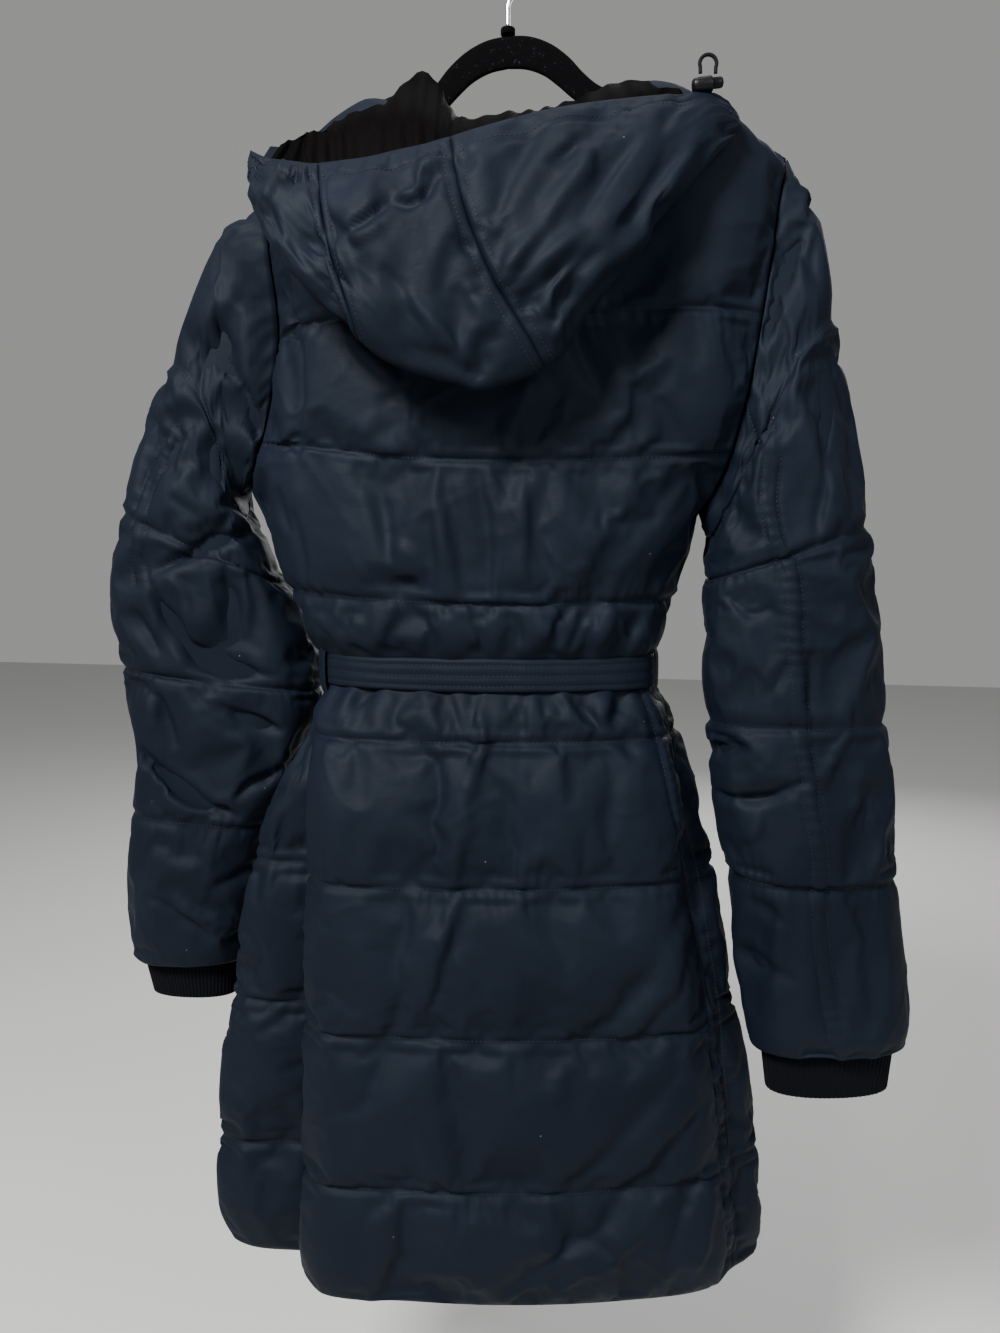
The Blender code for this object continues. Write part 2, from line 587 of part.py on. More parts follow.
def body():
    """Back and fronts: their grids, normals and quilting heights."""
    panels = {}
    for name, row_at, line, bulge, edges in (
        ("back", back_row, TOP_BACK, -YOKE_BULGE, ((0, "left", "back"), (-1, "right", "back"))),
        ("front_left", lambda z: front_row(z, "left"), half_top("left"), 0.5 * YOKE_BULGE,
         ((0, "left", "front"),)),
        ("front_right", lambda z: front_row(z, "right"), half_top("right"), 0.5 * YOKE_BULGE,
         ((0, "right", "front"),)),
    ):
        grid, places = panel_grid(row_at, line, bulge, edges)
        normals = grid_normals(grid)
        if name == "front_left":
            normals = -normals
        if name == "back":
            lift = sum(ridge(grid[:, :, 0], grid[:, :, 2], fold) for fold in BACK_FOLDS)
            lift = lift * quiet_ends(row_places(grid)) + cinch(grid)
            grid = grid + normals * lift[:, :, None]
        panels[name] = {"grid": grid, "places": places, "normals": normals}
    heights = [z for z, _ in body_heights()]
    first_low = len(YOKE_STEPS) + sum(1 for z in heights if z >= PIT_Z)
    back, left, right = panels["back"], panels["front_left"], panels["front_right"]
    share_normals(back["normals"][first_low:, 0], left["normals"][first_low:, 0])
    share_normals(back["normals"][first_low:, -1], right["normals"][first_low:, 0])
    share_normals(left["normals"][:, -1], right["normals"][:, -1])
    for panel, edge, side, face in (
        (back, 0, "left", "back"), (back, -1, "right", "back"),
        (left, 0, "left", "front"), (right, 0, "right", "front"),
    ):
        for i in range(first_low):
            panel["normals"][i, edge] = armhole_normal(side, face, panel["grid"][i, edge, 2])
    for panel in panels.values():
        shoulder = np.abs(panel["grid"][0, :, 0]) >= 96.0
        panel["normals"][0, shoulder] = unit(np.array((0.0, 0.0, 1.0)))
    for name, panel in panels.items():
        panel["armhole_rows"] = first_low
        panel["height"] = channel_height(panel["grid"], panel["places"])
        panel["normals"] = soften(panel["normals"])
        half = SEAM_GAP / 2
        grid = trim(panel["grid"], half, half, top=SEAM_GAP)
        lift = (panel["height"] - SUNK)[:, :, None]
        panel["outer"] = grid + panel["normals"] * lift
        panel["inner"] = grid - panel["normals"] * (SUNK + WALL)
        add_wall(name, panel["outer"], panel["inner"], "shell")
    return panels


def armhole_loop(side, panels):
    """The armhole's points from its top down the back and up the front, with their normals, read
    from the edges of the panels."""
    edge = 0 if side == "left" else -1
    count = panels["back"]["armhole_rows"]
    loops = []
    for part in ("grid", "normals"):
        back = panels["back"][part][:count, edge]
        front = panels["front_" + side][part][:count, 0]
        ends = (back[[0, -1]] + front[[0, -1]]) / 2
        loops.append(np.concatenate((ends[:1], back[1:-1], ends[1:], front[1:-1][::-1])))
    return loops[0], unit(loops[1])


def sleeve_ring(side, row, turn):
    """One ring of a sleeve at a place between the rows of its table."""
    rows = SLEEVES[side]
    at = np.arange(len(rows))
    v = {n: smooth(at, column(rows, SLEEVE_COLUMNS, n), row)[0] for n in SLEEVE_COLUMNS}
    return oval(v, turn)


def oval(v, turn):
    """A squarish oval between an outer and an inner point, going from the outer point over -Y."""
    c, s = np.cos(turn), np.sin(turn)
    along = np.sign(c) * np.abs(c) ** 0.88
    deep = np.sign(s) * np.abs(s) ** 0.88
    x = (v["outer_x"] + v["inner_x"]) / 2 + along * (v["outer_x"] - v["inner_x"]) / 2
    z = (v["outer_z"] + v["inner_z"]) / 2 + along * (v["outer_z"] - v["inner_z"]) / 2
    return np.stack((x, v["mid_y"] - deep * v["half_depth"], z), axis=1)


def sleeve_rows(side):
    """Places of a sleeve's rings with each one's place in its channel."""
    places = [(0.0, 0.35), (0.5, 0.7)]
    lines = (0.9,) + SLEEVE_LINES[side]
    for start, end in zip(lines[:-1], lines[1:]):
        for t in (0.0, 0.25, 0.75) if end - start < 2.2 else (0.0, 0.2, 0.5, 0.8):
            places.append((start + (end - start) * t, t if start > 0.9 else max(t, 0.45)))
    places.append((lines[-1], 0.0))
    return places


def crumple(side, around, row):
    """Height of a sleeve's slanting folds."""
    total = np.zeros_like(around)
    for a0, r0, a1, r1, reach, height in SLEEVE_FOLDS[side]:
        t = (row - r0) / (r1 - r0)
        if 0.0 < t < 1.0:
            away = np.abs(around - (a0 + (a1 - a0) * t))
            away = np.minimum(away, 1.0 - away)
            total += height * math.sin(math.pi * t) ** 0.7 * np.exp(-((away / reach) ** 2))
    return total


def sleeve(side, panels):
    """A quilted sleeve from the armhole to its end."""
    outward = -1.0 if side == "left" else 1.0
    loop, loop_normals = armhole_loop(side, panels)
    loop = loop + np.array((outward * SLEEVE_SET, 0.0, 0.0))
    rings, heights = [loop], [np.zeros(len(loop))]
    around = np.arange(len(loop)) / len(loop)
    turn = around * 2 * math.pi
    for row, place in sleeve_rows(side):
        rings.append(sleeve_ring(side, row, turn))
        puff = PUFF * math.sin(math.pi * place) ** 0.6
        heights.append(puff + crumple(side, around, row))
    grid = np.array(rings)
    normals = grid_normals(grid, closed=True) * outward
    middle = grid.mean(axis=1, keepdims=True)
    if np.sum(normals[5] * (grid[5] - middle[5])) < 0:
        normals = -normals
    normals[0] = loop_normals
    lift = (np.array(heights) - SUNK)[:, :, None]
    outer = grid + normals * lift
    inner = grid - normals * (SUNK + WALL)
    add_wall("sleeve_" + side, outer, inner, "shell", closed=True)


def cuff(side):
    """A ribbed tube that starts just inside the sleeve's end."""
    outward = -1.0 if side == "left" else 1.0
    end = dict(zip(SLEEVE_COLUMNS, CUFF_ENDS[side]))
    start = dict(zip(SLEEVE_COLUMNS, SLEEVES[side][-1]))
    inset = SUNK + WALL + CUFF_RIB_HEIGHT + 3 * SEAM_GAP
    start["outer_x"] -= outward * inset
    start["inner_x"] += outward * inset
    start["half_depth"] -= inset + 1.0
    for n in ("outer_z", "inner_z"):
        start[n] += CUFF_INSIDE
    turn = np.arange(CUFF_RIBS * 2) * math.pi / CUFF_RIBS
    rings = []
    for t in (0.0, 0.35, 1.0):
        rings.append(oval({n: start[n] + (end[n] - start[n]) * t for n in SLEEVE_COLUMNS}, turn))
    grid = np.array(rings)
    normals = grid_normals(grid, closed=True)
    middle = grid.mean(axis=1, keepdims=True)
    if np.sum(normals * (grid - middle)) < 0:
        normals = -normals
    rib = CUFF_RIB_HEIGHT * (np.arange(len(turn)) % 2)
    outer = grid + normals * rib[None, :, None]
    inner = grid - normals * CUFF_WALL
    add_wall("cuff_" + side, outer, inner, "rib", closed=True)


def nearest_y(points, x, z, reach, pick, otherwise=None):
    """The least or greatest y of a surface's points near a place."""
    away = np.hypot(points[:, 0] - x, points[:, 2] - z)
    near = points[away < reach]
    if len(near) == 0:
        return otherwise
    return pick(near[:, 1])


def between(grid, cells):
    """A grid's points with more of them between, in straight steps."""
    for axis in (0, 1):
        count = grid.shape[axis]
        at = np.linspace(0, count - 1, (count - 1) * cells + 1)
        low = np.minimum(at.astype(int), count - 2)
        share = (at - low).reshape((-1, 1, 1) if axis == 0 else (1, -1, 1))
        first, second = np.take(grid, low, axis=axis), np.take(grid, low + 1, axis=axis)
        grid = first + (second - first) * share
    return grid.reshape(-1, 3)


def hood_line(u, back_points):
    """One line of the hood from its rim down the near side and up the far side."""
    at = column(HOOD_ROWS, HOOD_COLUMNS, "u")
    v = {n: smooth(at, column(HOOD_ROWS, HOOD_COLUMNS, n), u)[0] for n in HOOD_COLUMNS}
    rim = np.array([v["rim_x"], v["rim_y"], v["rim_z"]])
    low = np.array([v["low_x"], v["low_y"], v["low_z"]])
    far = np.array([v["far_x"], v["far_y"], v["far_z"]])
    drop = np.linalg.norm(low - rim)
    bulge = HOOD_BULGE * min(drop / 120.0, 1.0)
    points = [rim]
    for t in (0.3, 0.62, 0.9):
        out = bulge * math.sin(math.pi * t**0.9) ** 0.8
        points.append(rim + (low - rim) * t - np.array((0.0, out, 0.0)))
    points[-1][1] = min(points[-1][1], low[1] - 0.6 * bulge)
    points.append(low)
    points.append(low + (far - low) * 0.1)
    points[-1][1] = low[1] + 0.9 * bulge
    points.append(far)
    line = through(points, (4, 4, 4, 4, 4, 12))
    cut = np.linspace(0, 1, HOOD_STEPS + 1)
    length = lengths(line)
    line = np.stack([np.interp(cut, length, line[:, k]) for k in range(3)], axis=1)
    for k in range(HOOD_STEPS // 2, HOOD_STEPS + 1):
        attached = k == HOOD_STEPS and HOOD_NECK[0] < u < HOOD_NECK[1]
        reach = 0.3 * HOOD_REACH if attached else HOOD_REACH
        limit = nearest_y(back_points, line[k, 0], line[k, 2], reach, np.min, otherwise=1000.0)
        clear = HOOD_WALL / 2 + (2 * SEAM_GAP if attached else HOOD_CLEAR)
        line[k, 1] = min(line[k, 1], limit - clear)
    return line


def hood(back_points):
    """The hood's three panels and the lining on the inside of its far side."""
    lines_at = []
    for name, start, end, cells in HOOD_PANELS:
        lines_at.append(np.linspace(start, end, cells + 1))
    every = np.unique(np.round(np.concatenate(lines_at), 6))
    grid = np.array([hood_line(u, back_points) for u in every]).transpose(1, 0, 2)
    normals = grid_normals(grid)
    if normals[3, len(every) // 2, 1] > 0:
        normals = -normals
    rows = np.arange(HOOD_STEPS + 1)
    half = np.interp(rows, (0, 10, HOOD_STEPS), (HOOD_WALL / 2, HOOD_WALL / 2, HOOD_WALL / 3))
    for name, start, end, _ in HOOD_PANELS:
        keep = (every >= start - 1e-6) & (every <= end + 1e-6)
        part, part_normals = grid[:, keep], normals[:, keep]
        part = trim(part, SEAM_GAP / 2, SEAM_GAP / 2)
        dip = np.ones(part.shape[:2])
        dip[:, 0] = dip[:, -1] = 0.2
        outer = part + part_normals * (half[:, None] * dip)[:, :, None]
        inner = part - part_normals * half[:, None, None]
        add_wall(name, outer, inner, "shell")
    first = int(HOOD_STEPS * 0.66)
    part, part_normals = grid[first:, 2:-2], normals[first:, 2:-2]
    waves = np.linspace(0, LINING_PLEATS * 2 * math.pi, part.shape[1])
    outer = half[first:, None] + 2 * SEAM_GAP + np.zeros(part.shape[:2])
    inner = outer + LINING_THICK + LINING_PLEAT_HEIGHT * (0.5 + 0.5 * np.cos(waves))
    outer = part - part_normals * outer[:, :, None]
    inner = part - part_normals * inner[:, :, None]
    add_wall("hood_lining", outer, inner, "lining")


def hood_trim():
    """The cord lock at the hood's right corner, with its elastic loop."""
    at = column(HOOD_ROWS, HOOD_COLUMNS, "u")
    rim = [smooth(at, column(HOOD_ROWS, HOOD_COLUMNS, "rim" + axis), LOCK_PLACE)[0]
           for axis in ("_x", "_y", "_z")]
    lock = np.array(rim) + np.array(LOCK_FROM_RIM)
    bpy.ops.mesh.primitive_cylinder_add(
        vertices=16, radius=LOCK_RADIUS * MM, depth=LOCK_LENGTH * MM
    )
    obj = bpy.context.object
    obj.name = obj.data.name = "cord_lock"
    obj.rotation_euler = (0.0, math.radians(82.0), COAT_TURN)
    obj.location = turned_point(lock)
    obj.data.materials.append(material("plastic"))
    round_edges(obj, 1.5, 2)
    move_to_collection(obj)
    foot = lock[2] + LOCK_RADIUS + 2 * SEAM_GAP + ELASTIC_RADIUS
    route = [(lock[0] - LOCK_RADIUS, lock[1], foot)]
    for turn in np.linspace(1.12 * math.pi, -0.12 * math.pi, 13):
        across, up = ELASTIC_HALF * math.cos(turn), ELASTIC_HALF * math.sin(turn)
        route.append((lock[0] + across, lock[1], foot + ELASTIC_RISE + up))
    route.append((lock[0] + LOCK_RADIUS, lock[1], foot))
    add_wire("hood_elastic", [turned_point(p) for p in route], ELASTIC_RADIUS, "plastic")


def round_edges(obj, width, segments):
    bevel = obj.modifiers.new("round_edges", "BEVEL")
    bevel.width = width * MM
    bevel.segments = segments


def turned_point(point):
    c, s = math.cos(COAT_TURN), math.sin(COAT_TURN)
    x, y, z = point
    return ((c * x - s * y) * MM, (s * x + c * y) * MM, z * MM)


def move_to_collection(obj):
    for old in list(obj.users_collection):
        old.objects.unlink(obj)
    collection.objects.link(obj)


def add_wire(name, points, radius, kind):
    """A round wire along points given in metres."""
    curve = bpy.data.curves.new(name, "CURVE")
    curve.dimensions = "3D"
    curve.bevel_depth = radius * MM
    curve.bevel_resolution = 2
    curve.use_fill_caps = True
    line = curve.splines.new("POLY")
    line.points.add(len(points) - 1)
    for spot, point in zip(line.points, points):
        spot.co = (*point, 1.0)
    obj = bpy.data.objects.new(name, curve)
    obj.data.materials.append(material(kind))
    collection.objects.link(obj)
    return obj


def ring_at(panels, z):
    """The coat's outer points and normals all round at one height, from the left seam over the
    back, the right seam and the fronts."""
    points, normals = [], []
    for name, flip in (("back", False), ("front_right", False), ("front_left", True)):
        panel = panels[name]
        outer, direction = panel["outer"], panel["normals"]
        heights = outer[:, :, 2]
        row = []
        for j in range(outer.shape[1]):
            at = heights[::-1, j]
            row.append([np.interp(z, at, outer[::-1, j, k]) for k in range(3)]
                       + [np.interp(z, at, direction[::-1, j, k]) for k in range(3)])
        row = np.array(row)
        if flip:
            row = row[::-1]
        row = row if name == "back" else row[1:]
        points.append(row[:, :3])
        normals.append(row[:, 3:])
    points, normals = np.concatenate(points)[:-1], unit(np.concatenate(normals)[:-1])
    return points, normals


def belt(panels):
    """The belt round the waist, lifted over the placket, with its knot and hanging ends."""
    outer, inner = [], []
    for z in (BELT_Z + BELT_HEIGHT / 2, BELT_Z - BELT_HEIGHT / 2):
        points, normals = ring_at(panels, z)
        normals[:, 2] = 0.0
        normals = unit(normals)
        front = (points[:, 1] > 20) & (np.abs(points[:, 0] - CENTRE_X) < PLACKET_HALF + 8.0)
        lift = BELT_LIFT + np.where(front, PLACKET_LIFT + PLACKET_THICK, 0.0)
        inner.append(points + normals * lift[:, None])
        outer.append(points + normals * (lift + BELT_THICK)[:, None])
    outer, inner = np.array(outer), np.array(inner)
    add_wall("belt", outer, inner, "shell", closed=True)
    front_y = -math.inf
    for row in outer:
        front = row[row[:, 1] > 0.0]
        front = front[np.argsort(front[:, 0])]
        reach = CENTRE_X + np.linspace(-0.4, 0.4, 9) * KNOT_SIZE[0]
        front_y = max(front_y, np.interp(reach, front[:, 0], front[:, 1]).max())
    bpy.ops.mesh.primitive_cube_add(size=1.0)
    knot = bpy.context.object
    knot.name = knot.data.name = "belt_knot"
    knot.scale = [side * MM for side in KNOT_SIZE]
    knot.location = turned_point((CENTRE_X, front_y + KNOT_SIZE[1] / 2 + SEAM_GAP, BELT_Z))
    knot.rotation_euler = (0.0, 0.0, COAT_TURN)
    bpy.ops.object.transform_apply(location=False, rotation=False, scale=True)
    round_edges(knot, KNOT_ROUND, 3)
    knot.data.materials.append(material("shell"))
    move_to_collection(knot)
    fronts = np.concatenate([panels[n]["outer"].reshape(-1, 3) for n in ("front_left", "front_right")])
    top = BELT_Z - KNOT_SIZE[2] / 2 - 2 * SEAM_GAP
    for side, (x0, x1, end_z) in BELT_ENDS.items():
        rows = []
        for t in np.linspace(0.0, 1.0, 9):
            z = top + (end_z - top) * t
            x = x0 + (x1 - x0) * t**0.8
            y = nearest_y(fronts, x, z, 3 * BELT_END_HALF, np.max)
            y += PLACKET_LIFT + PLACKET_THICK + BELT_END_CLEAR
            y = max(y, front_y + BELT_THICK - 2 * BELT_END_HALF * t)
            rows.append([(x - BELT_END_HALF, y, z), (x, y + 0.8, z), (x + BELT_END_HALF, y, z)])
        grid = np.array(rows)
        add_wall("belt_end_" + side, grid + np.array((0, BELT_THICK, 0)), grid, "shell")


def placket(panels):
    """The flap over the middle of the fronts, made from their points moved out."""
    left, right = panels["front_left"], panels["front_right"]
    base, facing = (
        np.stack((left[part][:, -2], left[part][:, -1], right[part][:, -2]), axis=1)
        for part in ("outer", "normals")
    )
    share = np.array((0.7, 1.0, 0.7))[None, :, None]
    inner = base + facing * PLACKET_LIFT
    outer = inner + facing * PLACKET_THICK * share
    add_wall("front_placket", outer, inner, "shell", other_way=(1,))


def belt_loops(panels):
    """Narrow straps over the belt, standing on the back near its two edges."""
    for side, x_at in BELT_LOOP_X.items():
        rows_out, rows_in = [], []
        j = None
        for dz, over in BELT_LOOP_ROWS:
            points, normals = ring_at(panels, BELT_Z + dz)
            normals[:, 2] = 0.0
            normals = unit(normals)
            if j is None:
                back = points[:, 1] < 5.0
                j = int(np.argmin(np.where(back, np.abs(points[:, 0] - x_at), 1e9)))
            lift = BELT_LOOP_SEAT + over * (BELT_LIFT + BELT_THICK + SEAM_GAP)
            along = unit(points[j + 1] - points[j - 1]) * BELT_LOOP_HALF
            for rows, extra in ((rows_in, 0.0), (rows_out, BELT_LOOP_THICK)):
                spot = points[j] + normals[j] * (lift + extra)
                rows.append([spot - along, spot + along])
        add_wall("belt_loop_" + side, np.array(rows_out), np.array(rows_in), "shell")


def hanger():
    """The hanger's flat band: neck arch, sloping arms and lower bar, one closed loop."""
    half = [dict(zip(HANGER_COLUMNS, row)) for row in HANGER_ROWS]
    outer = [(r["outer_x"], r["outer_z"]) for r in half]
    inner = [(r["inner_x"], r["inner_z"]) for r in half]
    outer += [(-x, z) for x, z in reversed(outer[1:-1])]
    inner += [(-x, z) for x, z in reversed(inner[1:-1])]
    t = HANGER_THICK / 2
    soft = HANGER_ROUND
    rings = []
    for (ox, oz), (ix, iz) in zip(outer, inner):
        across = np.array((ix - ox, iz - oz)) / math.hypot(ix - ox, iz - oz) * soft
        rings.append([
            (ox + across[0], -t, oz + across[1]), (ix - across[0], -t, iz - across[1]),
            (ix, soft - t, iz), (ix, t - soft, iz),
            (ix - across[0], t, iz - across[1]), (ox + across[0], t, oz + across[1]),
            (ox, t - soft, oz), (ox, soft - t, oz),
        ])
    count, sides = len(rings), 8
    faces = []
    for i in range(count):
        k = (i + 1) % count
        for j in range(sides):
            n = (j + 1) % sides
            faces.append((i * sides + j, i * sides + n, k * sides + n, k * sides + j))
    points = np.array(rings).reshape(-1, 3)
    add_mesh("hanger", points, faces, "velvet", turned=False)
    bpy.ops.mesh.primitive_cylinder_add(vertices=20, radius=NUB_RADIUS * MM, depth=NUB_HEIGHT * MM)
    nub = bpy.context.object
    nub.name = nub.data.name = "hanger_nub"
    nub.location = (0.0, 0.0, NUB_Z * MM)
    nub.data.materials.append(material("velvet"))
    round_edges(nub, 1.0, 2)
    move_to_collection(nub)


def hook():
    """The wire hook: a straight stem, a bend and a round top whose inside bears at the origin."""
    radius = HOOK_INNER_RADIUS + WIRE_RADIUS
    points = [(x, 0.0, z) for x, z in HOOK_STEM]
    for k in range(HOOK_STEPS + 1):
        turn = HOOK_START + (HOOK_END - HOOK_START) * k / HOOK_STEPS
        points.append((radius * math.cos(turn), 0.0, -HOOK_INNER_RADIUS + radius * math.sin(turn)))
    add_wire("hook", [tuple(c * MM for c in p) for p in points], WIRE_RADIUS, "chrome")


for old in list(bpy.data.objects):
    bpy.data.objects.remove(old)
collection = bpy.data.collections.new("long_puffer_coat")
bpy.context.scene.collection.children.link(collection)

body_panels = body()
placket(body_panels)
belt(body_panels)
belt_loops(body_panels)
for arm in ("left", "right"):
    sleeve(arm, body_panels)
    cuff(arm)
hood(between(body_panels["back"]["outer"], 4))
hood_trim()
hanger()
hook()
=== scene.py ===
"""The long quilted coat on its hanger: cloth, quilting, stitching and finishes over the solids.

Tables are in millimetres, in the coat's own frame: x to its right, y away from its back, z up from
the place where a rail bears inside the hook. The coat hangs turned by COAT_TURN from the hanger.
"""

import math

import bmesh
import bpy
import numpy as np
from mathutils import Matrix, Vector


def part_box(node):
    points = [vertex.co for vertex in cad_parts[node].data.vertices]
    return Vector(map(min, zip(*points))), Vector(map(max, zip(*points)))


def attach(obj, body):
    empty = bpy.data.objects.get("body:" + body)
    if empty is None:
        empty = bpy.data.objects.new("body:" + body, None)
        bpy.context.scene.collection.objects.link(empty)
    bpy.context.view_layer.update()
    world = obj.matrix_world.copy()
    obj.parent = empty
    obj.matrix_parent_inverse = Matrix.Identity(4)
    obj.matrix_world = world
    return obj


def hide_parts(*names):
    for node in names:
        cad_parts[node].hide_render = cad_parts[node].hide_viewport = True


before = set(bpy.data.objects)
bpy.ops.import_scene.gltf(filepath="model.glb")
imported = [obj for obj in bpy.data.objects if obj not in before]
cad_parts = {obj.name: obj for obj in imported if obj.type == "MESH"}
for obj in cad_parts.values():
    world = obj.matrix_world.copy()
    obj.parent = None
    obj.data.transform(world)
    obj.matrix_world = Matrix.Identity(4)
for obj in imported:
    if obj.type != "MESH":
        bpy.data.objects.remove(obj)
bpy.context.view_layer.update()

MM = 0.001
COAT_TURN = math.radians(12.0)
OUTWARD = {"left": -1.0, "right": 1.0}

# Quilted wall: thickness at a stitched line, height of a channel and the power that flattens its
# crest, how far the stitched lines lie inside the tables' outline, how far from a seam the padding
# is full, and the gap left at a seam.
WALL = 3.0
PUFF = 5.2
CREST = 0.42
SUNK = 3.2
SEAM_REACH = 20.0
SEAM_GAP = 0.3

# Body: heights of the hem, of the stitched lines and of the right armpit, the fronts' middle, and
# half the placket's width with the cells of cloth on each side, its lift and its thickness.
HEM_Z = -1023.0
QUILT_Z = (-929.0, -810.0, -696.0, -589.0, -489.0, -388.0, -284.0)
PIT_Z = -438.5
CENTRE_X = -10.0
PLACKET_HALF = 27.0
PLACKET_CELLS = 4
PLACKET_LIFT = 0.5
PLACKET_THICK = 3.0
# Yoke: its rows as shares of its height, its length, the bulge of its cloth, the power that rounds
# it over the shoulder, and how far from the middle the shoulders start.
YOKE_STEPS = (0.0, 0.15, 0.34, 0.54, 0.74, 0.9, 1.0)
YOKE_LENGTH = 150.0
YOKE_BULGE = 6.0
SHOULDER_ROUND = 0.6
SHOULDER_X = 96.0

# Simulated cloth: size of its cells, frames, pressure, spare cloth, the furthest that a point may
# move, and the share of a channel's height that it starts from.
CLOTH_STEP = 5.0
CLOTH_FRAMES = 20
CLOTH_PRESSURE = 1.6
CLOTH_SPARE = 0.03
CLOTH_MOST = 7.0
CLOTH_START = 0.8
# Settings of its simulation: stiffness, damping, and the points that are held.
CLOTH = {
    "quality": 5, "mass": 0.15, "tension_stiffness": 20.0, "compression_stiffness": 20.0,
    "shear_stiffness": 6.0, "bending_stiffness": 2.0, "tension_damping": 10.0,
    "compression_damping": 10.0, "shear_damping": 10.0, "air_damping": 4.0, "use_pressure": True,
    "uniform_pressure_force": CLOTH_PRESSURE, "shrink_min": -CLOTH_SPARE,
    "vertex_group_mass": "held",
}
# Laid on afterwards: height and length of the gathers, how far they reach with its variation, and
# how soon they rise. Height of small creases for each kind of panel, height and size of soft lumps,
# how much deeper the sleeves' narrow folds are, and depth and half width of the grooves at the
# hood's topstitching.
GATHERS = 1.25
GATHER_LENGTH = 10.0
GATHER_REACH = (13.0, 6.0)
GATHER_RISE = 2.5
CREASED = {"sleeve": 0.9, "hood": 0.6, "back": 1.5, "front": 1.5}
LUMPS = ((0.6, 34.0), (0.35, 15.0))
SLEEVE_DEEPER = 1.35
SEAM_GROOVE = (1.1, 1.5)
RIM_GROOVE = (1.0, 1.6)
# Rows of points over which all of this fades in at a panel's edges.
FADE_ROWS = 3.0
# Times that the directions along the body's rows and the hood's far side are evened out.
BODY_EVENED = 12
HOOD_EVENED = 10

# Belt: height of its middle, its width, thickness and lift off the coat, how flat it presses the
# channel and how far up and down, and how far it stands out over the placket.
BELT_Z = -541.0
BELT_HEIGHT = 24.0
BELT_THICK = 3.0
BELT_LIFT = 1.2
BELT_PINCH = 0.75
BELT_PINCH_REACH = 24.0
BELT_OVER_PLACKET = 3.5
# Heights over its middle that it is fitted at, and how often its directions, its lift and its line
# are evened out.
BELT_FITTED = (-9.0, 0.0, 9.0)
BELT_EVENED = (6, 8, 10)
# The two ends: x at the knot and at the bottom, z of the bottom, and how far below the belt's
# middle and before the knot's they start.
BELT_ENDS = {"left": (-20.0, -52.0, -790.0), "right": (2.0, 24.0, -760.0)}
BELT_END_DROP = 17.6
BELT_END_BACK = 7.0
BELT_END_HALF = 11.0
BELT_END_POINTS = 34
BELT_LOOP_X = {"left": -139.0, "right": 108.0}
BELT_LOOP_HALF = 5.5
BELT_LOOP_THICK = 1.4
STRAP_POINTS = 9
# Side view of a belt loop: z over the belt's middle and distance out.
BELT_LOOP_SHAPE = (
    (25, 1.2), (21, 1.6), (17, 3.4), (12, 5.0), (6, 5.3), (0, 5.4),
    (-6, 5.3), (-12, 5.0), (-17, 3.4), (-21, 1.6), (-25, 1.2),
)
# Knot: half of its width, depth and height, the power that squares it, its poles, and the height
# and width of its twist.
KNOT_HALF = (16.5, 6.4, 16.5)
KNOT_SQUARE = 0.62
KNOT_POLE = 16.9
KNOT_TWIST = 0.9
KNOT_TWIST_STEP = 3.6

# Back panel, a row for each height: heights of its middle and two edges, then x and y of the left
# seam, the outermost point of the left fold, the turn onto the back, the middle, the turn at the
# right, and the right seam. Above the armpits the seams are read from the armholes.
BACK_COLUMNS = ("z z_left z_right seam_l_x seam_l_y wrap_x wrap_y turn_x turn_y mid_y edge_x "
                "edge_y seam_r_x seam_r_y").split()
BACK_ROWS = (
    (-284, -290, -288, -177, -8, -166, -32, -140, -58, -88, 140, -97, 177, -85),
    (-350, -347, -352, -190, -4, -172, -30, -146, -56, -90, 138, -92, 166, -80),
    (-438.5, -404, -428, -207, 22, -192, -8, -160, -44, -90, 122, -72, 143, -40),
    (-466, -446, -460, -188, 12, -180, -14, -152, -48, -89, 114, -68, 136, -36),
    (-512, -512, -512, -163, 6, -157, -18, -136, -50, -86, 104, -64, 121, -32),
    (-546, -546, -546, -148, 4, -142, -18, -122, -46, -78, 96, -56, 113, -28),
    (-575, -575, -575, -147, -8, -149, -34, -132, -58, -86, 108, -62, 124, -32),
    (-620, -620, -620, -141, -28, -149, -54, -135, -76, -95, 118, -74, 133, -44),
    (-700, -700, -700, -142, -32, -153, -60, -137, -84, -99, 122, -80, 138, -54),
    (-804, -804, -804, -143, -34, -156, -62, -139, -87, -102, 138, -84, 160, -60),
    (-926, -926, -926, -144, -38, -160, -66, -142, -90, -104, 152, -86, 176, -62),
    (-1000, -1000, -1000, -146, -40, -162, -68, -144, -91, -104, 158, -86, 181, -62),
    (-1023, -1023, -1023, -147, -40, -159, -66, -143, -87, -100, 157, -82, 181, -60),
)

